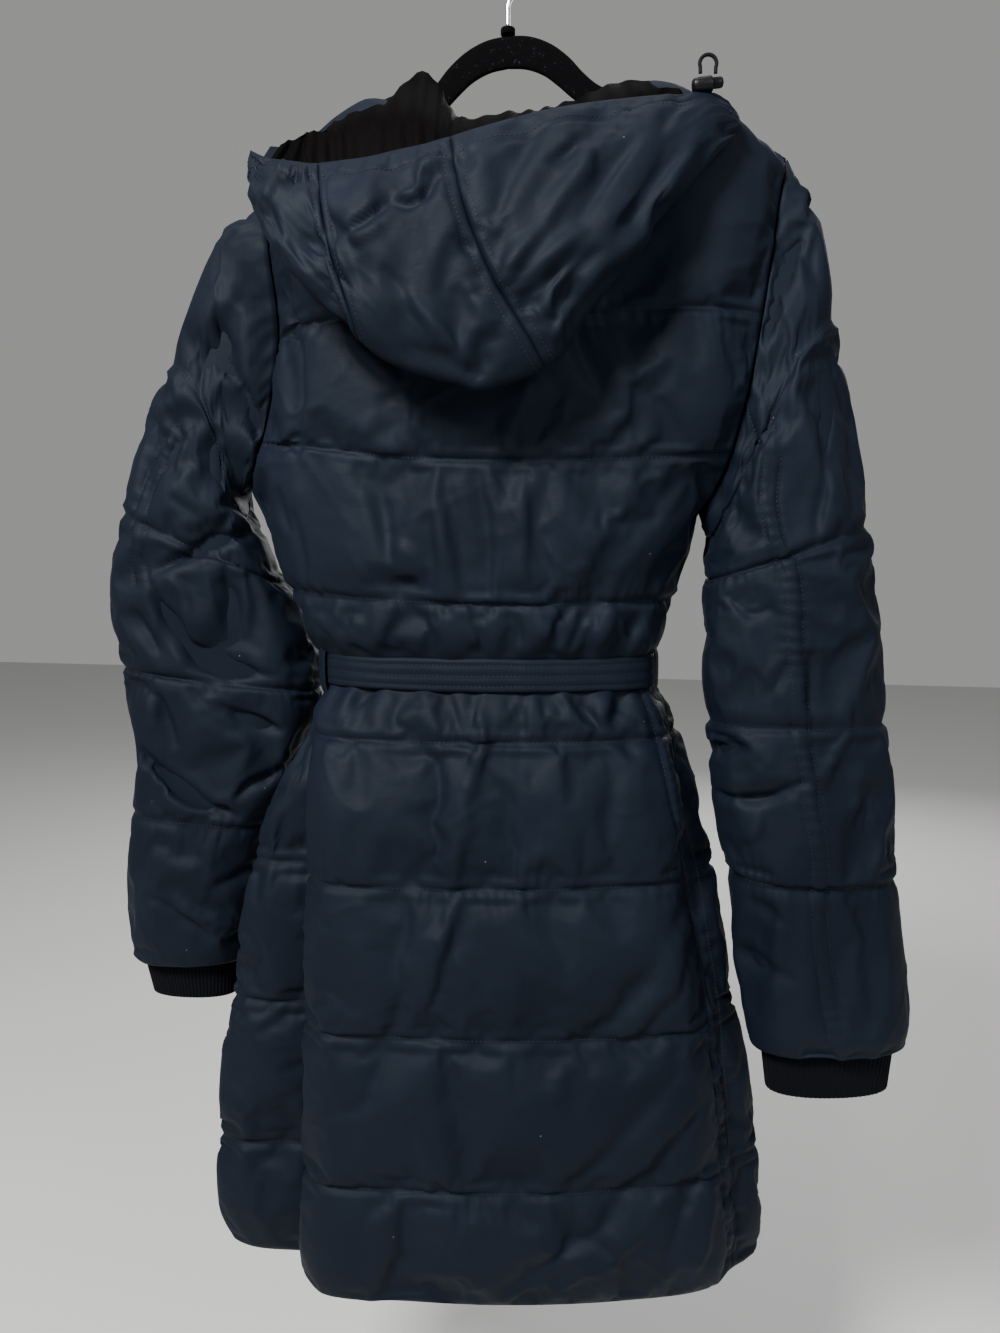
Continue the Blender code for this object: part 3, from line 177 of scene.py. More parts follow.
# Fronts, a row for each height: x and y of the panel that shows beyond the back's left fold, its
# outer edge, the left flank, the middle, the right flank and the right outer edge.
FRONT_COLUMNS = ("z pre_l_x pre_l_y out_l_x out_l_y flank_l_x flank_l_y mid_y flank_r_x "
                 "flank_r_y out_r_x out_r_y").split()
FRONT_ROWS = (
    (-284, -170, 84, -145, 88, -85, 84, 64, 85, 44, 150, 22),
    (-350, -176, 82, -150, 86, -90, 82, 64, 85, 44, 148, 20),
    (-438.5, -194, 46, -173, 66, -105, 76, 62, 88, 44, 134, 6),
    (-466, -186, 34, -170, 56, -100, 70, 61, 86, 44, 130, 4),
    (-512, -162, 26, -148, 44, -90, 62, 58, 82, 42, 119, -2),
    (-546, -147, 20, -134, 36, -82, 52, 50, 76, 34, 112, -4),
    (-575, -150, 4, -146, 20, -92, 54, 55, 84, 40, 128, -6),
    (-620, -162, -20, -174, -10, -112, 48, 58, 96, 42, 144, -18),
    (-700, -190, -27, -205, -16, -128, 42, 59, 112, 42, 163, -30),
    (-804, -208, -30, -223, -18, -140, 42, 60, 128, 42, 181, -34),
    (-926, -222, -33, -238, -20, -150, 42, 61, 145, 44, 202, -38),
    (-1000, -220, -35, -236, -22, -152, 42, 61, 148, 44, 204, -40),
    (-1023, -212, -34, -228, -22, -148, 40, 58, 145, 41, 201, -40),
)

# Each front's points between its side seam and the placket, and the cells between the points of a
# row, in groups of CELLS.
FRONT_POINTS = {"left": ("pre_l", "out_l", "flank_l"), "right": ("out_r", "flank_r")}
FRONT_CELLS = {"left": (3, 2, 4, 3, 1), "right": (3, 4, 3, 1)}
BACK_CELLS = (2, 2, 3, 4, 4, 3, 3)
CELLS = 4

# Armholes from the shoulder's tip to the armpit: height, x, and y of the back and front edges.
ARMHOLE_COLUMNS = "z x back_y front_y".split()
ARMHOLES = {
    "left": (
        (-170, -195, 38, 42), (-184, -192, 25, 53), (-218, -186, 8, 64), (-290, -177, -8, 76),
        (-347, -188, -4, 76), (-385, -200, 3, 60), (-399, -206, 14, 40), (-404, -207, 22, 26),
    ),
    "right": (
        (-168, 199, -46, -42), (-181, 196, -58, -30), (-214, 189, -72, -14), (-288, 177, -85, 6),
        (-352, 167, -80, 8), (-400, 155, -66, -6), (-422, 145, -50, -26), (-428, 143, -42, -38),
    ),
}

# Direction of the walls at an armhole: the step in height that its slope is read over, and how far
# it leans outward.
ARMHOLE_STEP = 4.0
ARMHOLE_LEAN = 0.35

# Top edges, from the left shoulder's tip to the right one.
TOP_BACK = (
    (-195, 38, -170), (-150, 31, -136), (-98, 20, -110.5), (-60, -4, -131),
    (0, -18, -139), (60, -26, -132), (98, -22, -110.5), (150, -34, -135), (199, -46, -168),
)
TOP_FRONT = (
    (-195, 42, -170), (-150, 34, -136), (-98, 24, -110.5), (-75, 40, -130), (-42, 52, -152),
    (CENTRE_X, 54, -162), (28, 42, -152), (66, 18, -129), (98, -18, -110.5), (150, -31, -135),
    (199, -42, -168),
)

# Sleeves below the armholes, a row for each ring: x and z of its outer and inner points, its depth
# in y and half its thickness there. The last row is the sleeve's end.
SLEEVE_COLUMNS = "outer_x outer_z inner_x inner_z mid_y half_depth".split()
SLEEVES = {
    "left": (
        (-220, -199, -217, -408, 34, 42), (-234, -216, -217, -417, 36, 44),
        (-256, -263, -210, -430, 38, 46), (-283, -327, -201, -447, 38, 46),
        (-308, -392, -190, -467, 38, 45), (-324, -456, -176, -494, 38, 44),
        (-327, -502, -161, -530, 38, 43), (-321, -559, -157, -577, 38, 42),
        (-315, -628, -184, -645, 38, 41), (-323, -700, -209, -707, 39, 40),
        (-325, -760, -221, -765, 40, 37), (-324, -800, -223, -800, 40, 32),
    ),
    "right": (
        (218, -200, 149, -440, -42, 46), (228, -240, 150, -447, -45, 48),
        (239, -307, 149, -454, -48, 48), (253, -378, 148, -462, -51, 47),
        (266, -450, 147, -477, -53, 46), (273, -500, 147, -506, -55, 45),
        (278, -546, 147, -548, -55, 44), (289, -637, 158, -637, -55, 43),
        (299, -731, 175, -731, -56, 41), (307, -795, 186, -800, -57, 39),
        (308, -826, 189, -830, -57, 35),
    ),
}
# Places of the sleeves' stitched lines, as rows of the table above.
SLEEVE_LINES = {"left": (2.6, 4.4, 6.8, 8.55, 11.0), "right": (1.7, 3.73, 6.38, 7.6, 10.0)}
SLEEVE_AROUND = 92
SLEEVE_SET = 1.9
SLEEVE_PUFF = 4.6
# Where in its channel a sleeve starts at the armhole, and over how many rows it rises there.
SLEEVE_START = 0.35
SLEEVE_RISE_ROWS = 3.0
# How far up the first stitched line runs on the sleeve's inner side, in rows.
SLEEVE_TILT = {"left": 1.2, "right": 1.6}
# Slanting crumples: around the sleeve in parts of a turn, along it in rows, then reach and height.
SLEEVE_FOLDS = {
    "left": ((0.62, 4.2, 0.88, 6.6, 0.05, 5.0), (0.88, 6.8, 0.64, 8.4, 0.05, 5.0)),
    "right": ((0.66, 2.4, 0.86, 4.2, 0.05, 3.5),),
}

# Cuffs: how far they start inside the sleeve, thickness, ribs and their height, and points per rib.
CUFF_INSIDE = 10.0
CUFF_WALL = 3.0
CUFF_RIBS = 64
CUFF_RIB_HEIGHT = 0.7
CUFF_RIB_POINTS = 6
CUFF_ROWS = 18
# The open ends: x and z of the outer and inner points, depth in y and half thickness.
CUFF_ENDS = {"left": (-307, -829, -236, -831, 39, 19), "right": (296, -865, 203, -867, -56, 21)}

# Hood, a row for each line that runs from the rim down to the bottom fold and up to the neck: its
# place across, then x, y and z of the rim, the bottom and the far edge.
HOOD_COLUMNS = "u rim_x rim_y rim_z low_x low_y low_z far_x far_y far_z".split()
HOOD_ROWS = (
    (0.00, -178, -74, -178, -176, -84, -200, -167, -66, -172),
    (0.10, -164, -84, -187, -170, -98, -222, -156, -58, -169),
    (0.20, -143, -94, -193, -151, -112, -260, -142, -46, -157),
    (0.33, -127, -98, -195, -96, -125, -314, -120, 8, -128),
    (0.45, -88, -110, -195, -58, -127, -333, -84, -6, -115),
    (0.50, -72, -112, -192, -38, -129, -339, -60, -14, -104),
    (0.54, -58, -114, -190, -20, -130, -344, -44, -16, -131),
    (0.62, -38, -116, -185, 23, -132, -331, -2, -24, -136),
    (0.74, 28, -115, -168, 48, -130, -300, 42, -30, -132),
    (0.83, 73, -110, -160, 79, -125, -266, 82, -32, -118),
    (0.91, 108, -104, -155, 108, -118, -228, 112, -66, -137),
    (0.97, 138, -96, -153, 137, -106, -189, 134, -72, -153),
    (1.00, 153, -88, -159, 154, -96, -172, 146, -78, -158),
)
HOOD_PANELS = (("hood_left", 0.0, 0.33), ("hood_centre", 0.33, 0.62), ("hood_right", 0.62, 1.0))
HOOD_ACROSS = 84
HOOD_DOWN = 80
HOOD_WALL = 6.0
# How the far side lies on the back: reach and distance, drop for each step moved out, and the part
# sewn to the neck. Then the bulge of the near side.
HOOD_REACH = 15.0
HOOD_CLEAR = 4.0
HOOD_SAG = 0.41
HOOD_NECK = (0.28, 0.88)
HOOD_BULGE = 16.0
# How far from a seam its padding is full, and its share at the seam.
HOOD_SEAM_REACH = 20.0
HOOD_SEAM_SHARE = 0.65
# Sideways bow of the lines from rim to bottom fold: place across and distance.
HOOD_BOW = ((0.0, 0.0), (0.33, -5.0), (0.62, -13.0), (0.85, -6.0), (1.0, 0.0))
# Lining: the part of the hood that it covers, down and across, thickness, and its pleats.
LINING_DOWN = 0.66
LINING_ACROSS = (0.06, 0.97)
LINING_THICK = 1.2
LINING_PLEAT = 15.0
LINING_PLEAT_HEIGHT = 2.2

# Cord lock: size, tilt and how far it hangs below its solid's middle. Its elastic: radius, half
# the loop's width and its height.
LOCK_RADIUS = 5.0
LOCK_LOWER = 2.0
LOCK_LENGTH = 20.0
LOCK_TILT = math.radians(82.0)
ELASTIC_RADIUS = 1.25
ELASTIC_HALF = 5.5
ELASTIC_RISE = 6.0

# Right half of the hanger: x and z of its outer and inner edges.
HANGER_ROWS = (
    (0, -67, 0, -90), (17, -69.2, 14, -91.8), (32.5, -75.7, 27, -97.2), (46, -86, 38, -105.6),
    (57, -98, 48, -114.5), (67, -107, 58, -122), (80, -114, 72, -129.5), (100, -123.5, 94, -139),
    (130, -137, 122, -152), (160, -150.5, 152, -164.5), (180, -163, 169, -174),
    (193, -177, 180, -182), (197, -187, 182, -187), (192, -195, 176, -189.5),
    (155, -199, 154, -190.5), (80, -202, 80, -193), (0, -203, 0, -194),
)
HANGER_THICK = 5.0
# Hook: wire, radius of its inside, x and z of its stem, the angles of its round and where along
# the wire its rounded end begins.
WIRE_RADIUS = 1.75
HOOK_INNER_RADIUS = 17.0
HOOK_STEM = ((0.0, -61.3), (0.0, -52.0), (0.4, -44.0), (5.0, -37.5))
HOOK_START = math.radians(-48.0)
HOOK_END = math.radians(205.0)
HOOK_TIP = 0.985

# Pleats that the belt gathers: place round the panel from 0 to 1, half width, height, and how far
# they run above and below the belt.
PLEATS = {
    "back": (
        (0.05, 5.0, 3.0, 40, 30), (0.13, 6.0, 4.0, 60, 45), (0.20, 5.0, 3.5, 34, 40),
        (0.29, 7.0, 4.5, 55, 60), (0.38, 6.0, 3.0, 30, 36), (0.46, 8.0, 4.5, 60, 70),
        (0.55, 6.0, 3.5, 46, 40), (0.63, 8.0, 4.5, 66, 60), (0.71, 6.0, 4.0, 44, 56),
        (0.79, 7.0, 4.5, 60, 50), (0.87, 5.0, 3.5, 40, 60), (0.94, 5.0, 3.0, 36, 44),
    ),
    "front_left": (
        (0.10, 5.0, 3.0, 40, 50), (0.24, 6.0, 4.0, 50, 60), (0.40, 7.0, 4.5, 56, 66),
        (0.55, 6.0, 3.5, 44, 50), (0.70, 7.0, 3.5, 50, 56),
    ),
    "front_right": (
        (0.10, 5.0, 3.0, 40, 46), (0.26, 6.0, 4.0, 56, 60), (0.44, 7.0, 4.5, 50, 70),
        (0.60, 6.0, 3.5, 46, 50), (0.74, 7.0, 3.5, 40, 56),
    ),
}

# Soft folds of the body: x and z of both ends, sideways bend of the middle, half width, height.
BACK_FOLDS = (
    (-118, -298, -85, -338, 2, 5, -4.0), (-111, -292, -74, -335, 2, 6, 3.0),
    (-80, -315, -73, -375, -2, 6, -2.5), (15, -335, 0, -385, 2, 6, 3.5),
    (35, -338, 15, -388, 0, 9, -2.5), (123, -301, 56, -382, 6, 14, 3.0),
    (-110, -399, -86, -457, -3, 7, 3.0), (-94, -402, -76, -478, 3, 6, -3.0),
    (-79, -443, -58, -467, 0, 6, 3.5), (-86, -474, -62, -471, 0, 4, -3.0),
    (-51, -395, -33, -485, 4, 8, 4.0), (-20, -395, -13, -485, -3, 7, -3.0),
    (11, -392, 15, -492, 3, 6, 4.0), (32, -395, 26, -485, 4, 9, -2.5),
    (100, -348, 36, -485, -6, 11, 3.5), (125, -395, 57, -485, 4, 10, -3.0),
    (133, -416, 92, -485, 3, 7, 3.0), (-111, -493, -115, -521, 0, 5, 3.0),
    (-80, -486, -98, -521, 2, 6, 3.5), (-66, -490, -55, -521, -1, 5, -3.0),
    (-33, -485, -20, -521, 2, 6, 3.5), (-2, -492, 8, -521, 0, 6, -3.0),
    (36, -486, 22, -523, 2, 6, 4.0), (57, -492, 43, -523, -2, 4, -4.0),
    (78, -488, 64, -523, 1, 6, 3.5), (99, -492, 86, -523, -1, 5, -3.5),
    (-112, -548, -120, -588, 0, 6, 3.0), (-91, -548, -127, -583, 3, 4, -3.0),
    (-63, -548, -49, -600, -3, 7, 3.5), (-45, -548, -27, -593, 2, 6, -3.5),
    (-17, -548, -19, -610, 0, 6, 5.0), (15, -548, 8, -590, 1, 5, -3.0),
    (36, -548, 58, -590, -3, 7, 4.0), (42, -554, 67, -583, -4, 4, -4.0),
    (79, -548, 65, -586, 2, 6, 4.0), (93, -551, 76, -579, 3, 4, -4.0),
    (-116, -592, -122, -691, 3, 11, 2.5), (-56, -590, -57, -698, -4, 11, -4.0),
    (-19, -595, -41, -706, 4, 9, 4.5), (-6, -613, 8, -698, 0, 9, -2.5),
    (37, -592, 52, -695, 4, 13, 3.0), (69, -592, 77, -695, -4, 9, -3.5),
    (94, -592, 110, -691, 2, 9, 2.5), (-39, -702, -61, -782, 3, 7, 4.5),
    (-78, -698, -87, -813, -4, 9, -3.0), (67, -702, 68, -813, 6, 21, 3.0),
    (135, -702, 49, -815, -7, 10, -4.5), (143, -721, 79, -816, -6, 9, 4.0),
    (-95, -820, -119, -923, 4, 10, -2.5), (-58, -816, -51, -923, 0, 21, 2.0),
    (138, -805, 43, -927, -7, 9, -5.0), (148, -828, 80, -931, -6, 8, 4.0),
    (156, -859, 103, -923, 4, 6, -3.5), (103, -915, -6, -1010, -6, 9, -4.0),
    (133, -915, 32, -1010, -6, 9, 3.5), (160, -899, 112, -1004, 4, 6, -4.0),
    (164, -927, 138, -1007, 0, 6, 3.0), (-81, -931, -97, -1010, 3, 11, 2.5),
    (-168, -234, -154, -391, -5, 6, -7.0), (-173, -403, -165, -438, 0, 4, -4.0),
    (-162, -418, -150, -469, 0, 4, -4.0), (-186, -412, -157, -503, 1, 8, 3.0),
)

# The same for the fronts, mostly hidden behind the coat.
FRONT_FOLDS = (
    (-90, -300, -60, -400, 3, 14, 3.0), (40, -320, 70, -470, -4, 14, 3.0),
    (-120, -430, -80, -520, 3, 9, -3.0), (90, -430, 60, -520, -3, 9, -3.0),
    (-60, -560, -90, -680, 4, 12, 3.5), (-100, -570, -140, -760, 6, 16, 3.5),
    (40, -560, 80, -690, -4, 12, 3.5), (90, -580, 120, -800, -6, 14, -3.5),
    (-50, -700, -80, -900, 5, 22, 3.0), (60, -720, 90, -960, -6, 24, 3.0),
    (-180, -640, -190, -780, 3, 8, 3.0), (-200, -700, -205, -880, -4, 9, -3.0),
    (-190, -800, -215, -960, 4, 10, 3.5), (-170, -860, -180, -1010, 3, 9, -3.0),
    (-215, -930, -195, -1010, -3, 8, 3.0), (180, -760, 195, -930, 3, 8, -2.5),
    (-120, -820, -150, -1000, 6, 16, -3.0), (120, -840, 150, -1000, -6, 16, -3.0),
)

# Folds of the hood's near side: x and z of both ends, bend, half width, height.
HOOD_FOLDS = (
    (96, -178, 20, -300, -10, 13, 5.0), (118, -196, 44, -322, -12, 11, 4.0),
    (70, -170, 10, -240, -6, 12, -4.0), (128, -190, 62, -290, -8, 7, -3.5),
    (60, -262, 24, -312, 3, 5, -4.0), (48, -250, 8, -296, 3, 6, 3.5),
    (-40, -212, -86, -236, 8, 6, -4.0), (-30, -206, -62, -220, 4, 7, 4.0),
    (-96, -214, -60, -300, 8, 16, 4.0), (-118, -232, -92, -262, 4, 5, -3.5),
    (-120, -250, -96, -292, -3, 5, 3.0), (-150, -200, -160, -232, 2, 5, 3.5),
    (-142, -196, -148, -216, -3, 4, -3.5), (-134, -198, -132, -224, 2, 5, 3.0),
    (-70, -322, -20, -334, -3, 6, -3.0), (20, -180, -6, -250, 4, 9, -3.0),
    (34, -182, 52, -210, 3, 8, 2.5), (108, -168, 96, -190, 2, 4, -3.0),
    (-106, -251, -78, -228, 2, 4.5, -6.0), (-79, -228, -55, -230, 2, 4, -5.5),
    (-57, -232, -46, -212, -1, 4, -6.0), (-102, -256, -73, -234, 2, 5, 3.5),
    (-76, -224, -55, -225, 2, 4, 2.5), (66, -187, 20, -254, 3, 6.4, 4.5),
    (23, -251, -15, -298, 2, 6, 4.5), (84, -188, 41, -251, 3, 6, -4.5),
    (47, -264, 7, -304, 2, 5.5, -4.0), (130, -183, 94, -241, 4, 6.4, 4.0),
    (97, -238, 41, -300, 3, 6, 4.5), (116, -195, 65, -264, 4, 6, -4.5),
    (23, -209, 48, -189, 2, 5, -4.5), (33, -274, 3, -302, 2, 5, -5.0),
    (77, -177, 67, -189, 1, 4.5, -3.0), (-135, -245, -107, -264, 3, 5.5, -3.5),
    (-159, -223, -146, -251, 3, 5, -4.0), (-37, -211, -25, -226, 1, 4.5, -4.0),
    (-33, -245, -20, -264, 1, 4.5, -3.5), (-26, -282, -11, -307, 2, 5, 3.5),
    (-68, -288, -26, -334, -3, 6.4, 3.5), (-84, -273, -52, -320, -3, 6, -3.0),
)

# The same for the sleeves' side that faces the back.
ARM_FOLDS = {
    "left": (
        (-232, -357, -203, -425, 9, 7, -9.0), (-283, -469, -201, -430, -1, 5, -8.0),
        (-280, -387, -222, -426, 2, 20, 6.0), (-234, -292, -192, -372, -11, 4, -4.0),
        (-223, -263, -207, -311, 3, 4, -3.0), (-215, -349, -192, -387, -4, 5, 3.5),
        (-285, -473, -184, -552, 22, 6, -8.0), (-240, -465, -228, -525, -1, 7, 4.0),
        (-213, -458, -209, -521, -2, 6, 3.5), (-224, -469, -217, -517, -2, 4, -3.0),
        (-266, -469, -251, -513, -3, 6, 3.5), (-302, -497, -278, -533, -2, 5, -4.0),
        (-295, -557, -268, -610, -6, 6, -5.0), (-233, -569, -182, -599, 3, 5, -5.0),
        (-259, -569, -204, -618, 9, 14, 4.5), (-301, -609, -219, -670, 5, 6, -7.0),
        (-224, -653, -178, -625, -2, 5, -7.0), (-293, -623, -238, -661, 10, 9, 3.5),
        (-248, -729, -199, -713, -3, 5, -3.0), (-299, -730, -244, -775, -2, 5, -5.0),
        (-292, -693, -224, -740, 3, 14, 3.0), (-273, -735, -225, -765, 6, 8, 3.0),
        (-205, -222, -238, -304, -3, 12, 3.5), (-245, -296, -273, -364, 2, 10, 3.0),
    ),
    "right": (
        (207, -225, 157, -345, -1, 5, -6.0), (193, -203, 177, -227, 3, 5, -2.5),
        (227, -321, 215, -449, 0, 4, -3.5), (239, -348, 229, -436, -1, 7, 2.5),
        (159, -485, 187, -488, 7, 4, -3.0), (214, -520, 213, -564, -1, 4, -3.0),
        (196, -527, 184, -556, -1, 4, -3.0), (257, -520, 226, -622, -2, 7, 3.0),
        (149, -629, 217, -610, 8, 4, -4.5), (143, -605, 172, -590, -2, 5, -4.0),
        (183, -634, 173, -665, -2, 6, 3.5), (177, -706, 205, -721, 2, 5, -3.0),
        (135, -388, 135, -464, 10, 9, -3.0), (163, -375, 144, -457, 5, 9, 3.5),
        (176, -492, 152, -566, -2, 12, 3.0), (168, -584, 201, -613, 4, 9, 3.5),
        (169, -747, 214, -766, 3, 6, -3.0), (248, -702, 266, -793, -1, 9, 2.5),
        (165, -721, 176, -786, 0, 6, 3.0), (258, -628, 267, -687, 0, 7, -2.5),
    ),
}
# Folds narrower than this are laid on after the cloth is simulated.
NARROW = 6.5

# Felled seams with a row of stitches on each side: x and z of points along the middle.
STRIPS = {
    "sleeve_right": (
        (173, -345), (175, -355), (183, -385), (181, -416), (186, -443), (196, -462), (200, -485),
        (201, -513), (206, -552), (208, -577), (214, -606), (217, -635), (224, -668), (226, -698),
        (229, -732), (237, -777), (243, -808),
    ),
    "sleeve_left": (
        (-249, -350), (-266, -368), (-282, -395), (-292, -426), (-295, -458), (-291, -481),
    ),
    "back": (
        (103, -551), (113, -581), (123, -626), (135, -671), (144, -710), (150, -749), (157, -788),
        (164, -852), (169, -909), (174, -967), (178, -1011),
    ),
}
STRIP_HALF = {"sleeve_right": 5.6, "sleeve_left": 5.6, "back": 4.6}
STRIP_HEIGHT = 1.2
STRIP_GATHER_LENGTH = 8.5
STRIP_GROOVE = (1.7, 1.5)

# Topstitching: its distance from the hood's seams and rim, and how far its thread lies above the
# cloth along the quilting, at edges, on the strips and on the belt.
HOOD_STITCH = 6.5
RIM_STITCH = 15.0
QUILT_THREAD_LIFT = 0.12
EDGE_THREAD_LIFT = 0.15
STRIP_THREAD_LIFT = 0.2
BELT_THREAD_LIFT = 0.1
# Stitches: pitch, length and thickness, and how much their length varies.
STITCH = (3.2, 2.5, 0.42)
STITCH_VARIES = (0.86, 1.08)

# The camera and lights, in metres. Every light is aimed at one place.
EYE = (0.1605, -0.7838, -0.452)
EYE_DOWN = 6.5
LENS = 27.03
FLOOR_Z = -1.30
FLOOR_HALF = 6.0
LIGHT_AIM = (0.0, 0.0, -0.5)
LIGHTS = (
    ("key_light", (-0.7, -1.75, 1.05), 0.7, 150.0, (1.0, 0.99, 0.97)),
    ("fill_light", (1.7, -1.6, 0.5), 1.0, 26.0, (0.92, 0.96, 1.0)),
    ("top_light", (0.1, 0.3, 1.6), 1.2, 10.0, (1.0, 1.0, 1.0)),
    ("rear_light", (0.3, 2.4, 0.5), 1.8, 45.0, (1.0, 1.0, 1.0)),
)


def column(rows, names, name):
    """One named column of a table."""
    return np.array([row[names.index(name)] for row in rows], float)


def smooth(at, values, x):
    """Values at x of a smooth curve through others at increasing or decreasing places."""
    at, values, x = np.asarray(at, float), np.asarray(values, float), np.atleast_1d(x)
    if at[0] > at[-1]:
        at, values = at[::-1], values[::-1]
    slopes = np.gradient(values, at)
    i = np.clip(np.searchsorted(at, x) - 1, 0, len(at) - 2)
    h = at[i + 1] - at[i]
    t = np.clip((x - at[i]) / h, 0.0, 1.0)
    return (
        (2 * t**3 - 3 * t**2 + 1) * values[i] + (t**3 - 2 * t**2 + t) * h * slopes[i]
        + (-2 * t**3 + 3 * t**2) * values[i + 1] + (t**3 - t**2) * h * slopes[i + 1]
    )


def looked_up(rows, names, place):
    """A table's columns by name, at a place in its first column."""
    at = column(rows, names, names[0])
    return {n: smooth(at, column(rows, names, n), place)[0] for n in names}


def through(points, cells):
    """Points of a smooth curve through the given ones, with so many cells in each span."""
    points = np.array(points, float)
    steps = np.linalg.norm(np.diff(points, axis=0), axis=1) ** 0.5
    at = np.concatenate(([0.0], np.cumsum(steps)))
    x = [np.linspace(at[i], at[i + 1], n, endpoint=False) for i, n in enumerate(cells)]
    x = np.concatenate(x + [[at[-1]]])
    return np.stack([smooth(at, points[:, k], x) for k in range(points.shape[1])], axis=1)


def along(points):
    """Length along a line of points, from its first one."""
    steps = np.linalg.norm(np.diff(points, axis=0), axis=1)
    return np.concatenate(([0.0], np.cumsum(steps)))


def shares(points):
    """Length along a line of points, from 0 to 1."""
    length = along(points)
    return length / length[-1]


def fading(share):
    """1 in the middle of a line and 0 at its ends, from places between 0 and 1."""
    return np.sqrt(np.clip(np.sin(math.pi * share), 0.0, 1.0))


def mean_along(lines):
    """Length along lines of as many points each, on average."""
    return np.mean([along(line) for line in lines], axis=0)


def read_at(cut, at, points):
    """A line's points at the places cut, when its own points lie at the places at."""
    return np.stack([np.interp(cut, at, points[:, k]) for k in range(points.shape[1])], axis=-1)


def evenly(points, count):
    """The same line with so many points at even steps."""
    return read_at(np.linspace(0.0, 1.0, count), shares(points), points)


def unit(vectors):
    """The same directions with a length of 1."""
    return vectors / np.maximum(np.linalg.norm(vectors, axis=-1, keepdims=True), 1e-9)


def grid_normals(grid, closed=False):
    """Unit normals of a grid of points, facing away from the coat's inside for rows that run
    down it and columns that run round it from -X over -Y to +X."""
    down = np.gradient(grid, axis=0)
    if closed:
        across = np.roll(grid, -1, axis=1) - np.roll(grid, 1, axis=1)
    else:
        across = np.gradient(grid, axis=1)
    return unit(np.cross(down, across))


def soften(normals, times):
    """Normals evened out along each row but the first, the rows' ends kept."""
    for _ in range(times):
        normals[1:, 1:-1] = unit(normals[1:, :-2] + 2.0 * normals[1:, 1:-1] + normals[1:, 2:])
    return normals


def quads(rows, cols, close_rows=False, close_cols=True):
    """Quads of a grid of points, whose rows or columns may close round."""
    return [(i * cols + j, (i + 1) % rows * cols + j,
             (i + 1) % rows * cols + (j + 1) % cols, i * cols + (j + 1) % cols)
            for i in range(rows if close_rows else rows - 1)
            for j in range(cols if close_cols else cols - 1)]


def strip_faces(rows, cols):
    """Faces of a tube of rows round a section of cols points, closed at both ends."""
    return quads(rows, cols) + [tuple(range(cols))[::-1],
                                tuple((rows - 1) * cols + j for j in range(cols))]


def finer(grid, axis, closed=False):
    """A grid with a new point between each two along an axis, on a smooth curve."""
    grid = np.moveaxis(grid, axis, 0)
    if closed:
        before, after, last = np.roll(grid, 1, 0), np.roll(grid, -1, 0), np.roll(grid, -2, 0)
        middles = (9.0 * (grid + after) - before - last) / 16.0
        out = np.stack((grid, middles), axis=1).reshape(-1, *grid.shape[1:])
    else:
        wide = np.concatenate((2 * grid[:1] - grid[1:2], grid, 2 * grid[-1:] - grid[-2:-1]))
        middles = (9.0 * (wide[1:-2] + wide[2:-1]) - wide[:-3] - wide[3:]) / 16.0
        out = np.empty((2 * len(grid) - 1, *grid.shape[1:]))
        out[::2], out[1::2] = grid, middles
    return np.moveaxis(out, 0, axis)


def fine(grid, closed=False):
    """A grid made finer both ways."""
    return finer(finer(grid, 0), 1, closed)


def wander(at, step, seed):
    """A smooth random line between -1 and 1 that turns about once in each step."""
    at = np.asarray(at, float)
    first = math.floor(at.min() / step) - 1
    count = math.ceil(at.max() / step) - first + 3
    values = np.random.default_rng(seed).uniform(-1.0, 1.0, count)
    place = at / step - first
    i = np.clip(place.astype(int), 0, count - 2)
    t = place - i
    t = t * t * (3.0 - 2.0 * t)
    return values[i] * (1.0 - t) + values[i + 1] * t


def cloudy(u, v, step, seed):
    """Smooth random heights between -1 and 1 over a surface, with lumps of about one step."""
    u, v = np.broadcast_arrays(np.asarray(u, float) / step, np.asarray(v, float) / step)
    u, v = u - math.floor(u.min()), v - math.floor(v.min())
    values = np.random.default_rng(seed).uniform(-1.0, 1.0, (int(u.max()) + 2, int(v.max()) + 2))
    i, j = u.astype(int), v.astype(int)
    s, t = u - i, v - j
    s, t = s**3 * (s * (6 * s - 15) + 10), t**3 * (t * (6 * t - 15) + 10)
    low = values[i, j] * (1 - s) + values[i + 1, j] * s
    high = values[i, j + 1] * (1 - s) + values[i + 1, j + 1] * s
    return low * (1 - t) + high * t


def fold_height(points, folds):
    """Height at each point of soft folds that are laid over x and z. Each wanders a little, and is
    steeper on one side."""
    x, z = points[..., 0], points[..., 2]
    total = np.zeros_like(x)
    for x0, z0, x1, z1, bend, half_width, height in folds:
        length = math.hypot(x1 - x0, z1 - z0)
        t = ((x - x0) * (x1 - x0) + (z - z0) * (z1 - z0)) / length**2
        away = ((x - x0) * (z1 - z0) - (z - z0) * (x1 - x0)) / length
        away = away - bend * 4.0 * t * (1.0 - t)
        inside = (t > 0.0) & (t < 1.0)
        t = np.clip(t, 0.0, 1.0)
        seed = int(abs(7 * x0 + 3 * z0))
        away = away + 0.4 * half_width * wander(t * length, 18.0, seed)
        strength = np.sin(math.pi * t) ** 0.7
        width = half_width * (0.6 + 0.4 * strength) * np.where(away > 0.0, 1.3, 0.75)
        rise = height * (1.0 + 0.3 * wander(t * length, 25.0, seed + 1))
        total += rise * inside * strength * np.exp(-((away / width) ** 2))
    return total


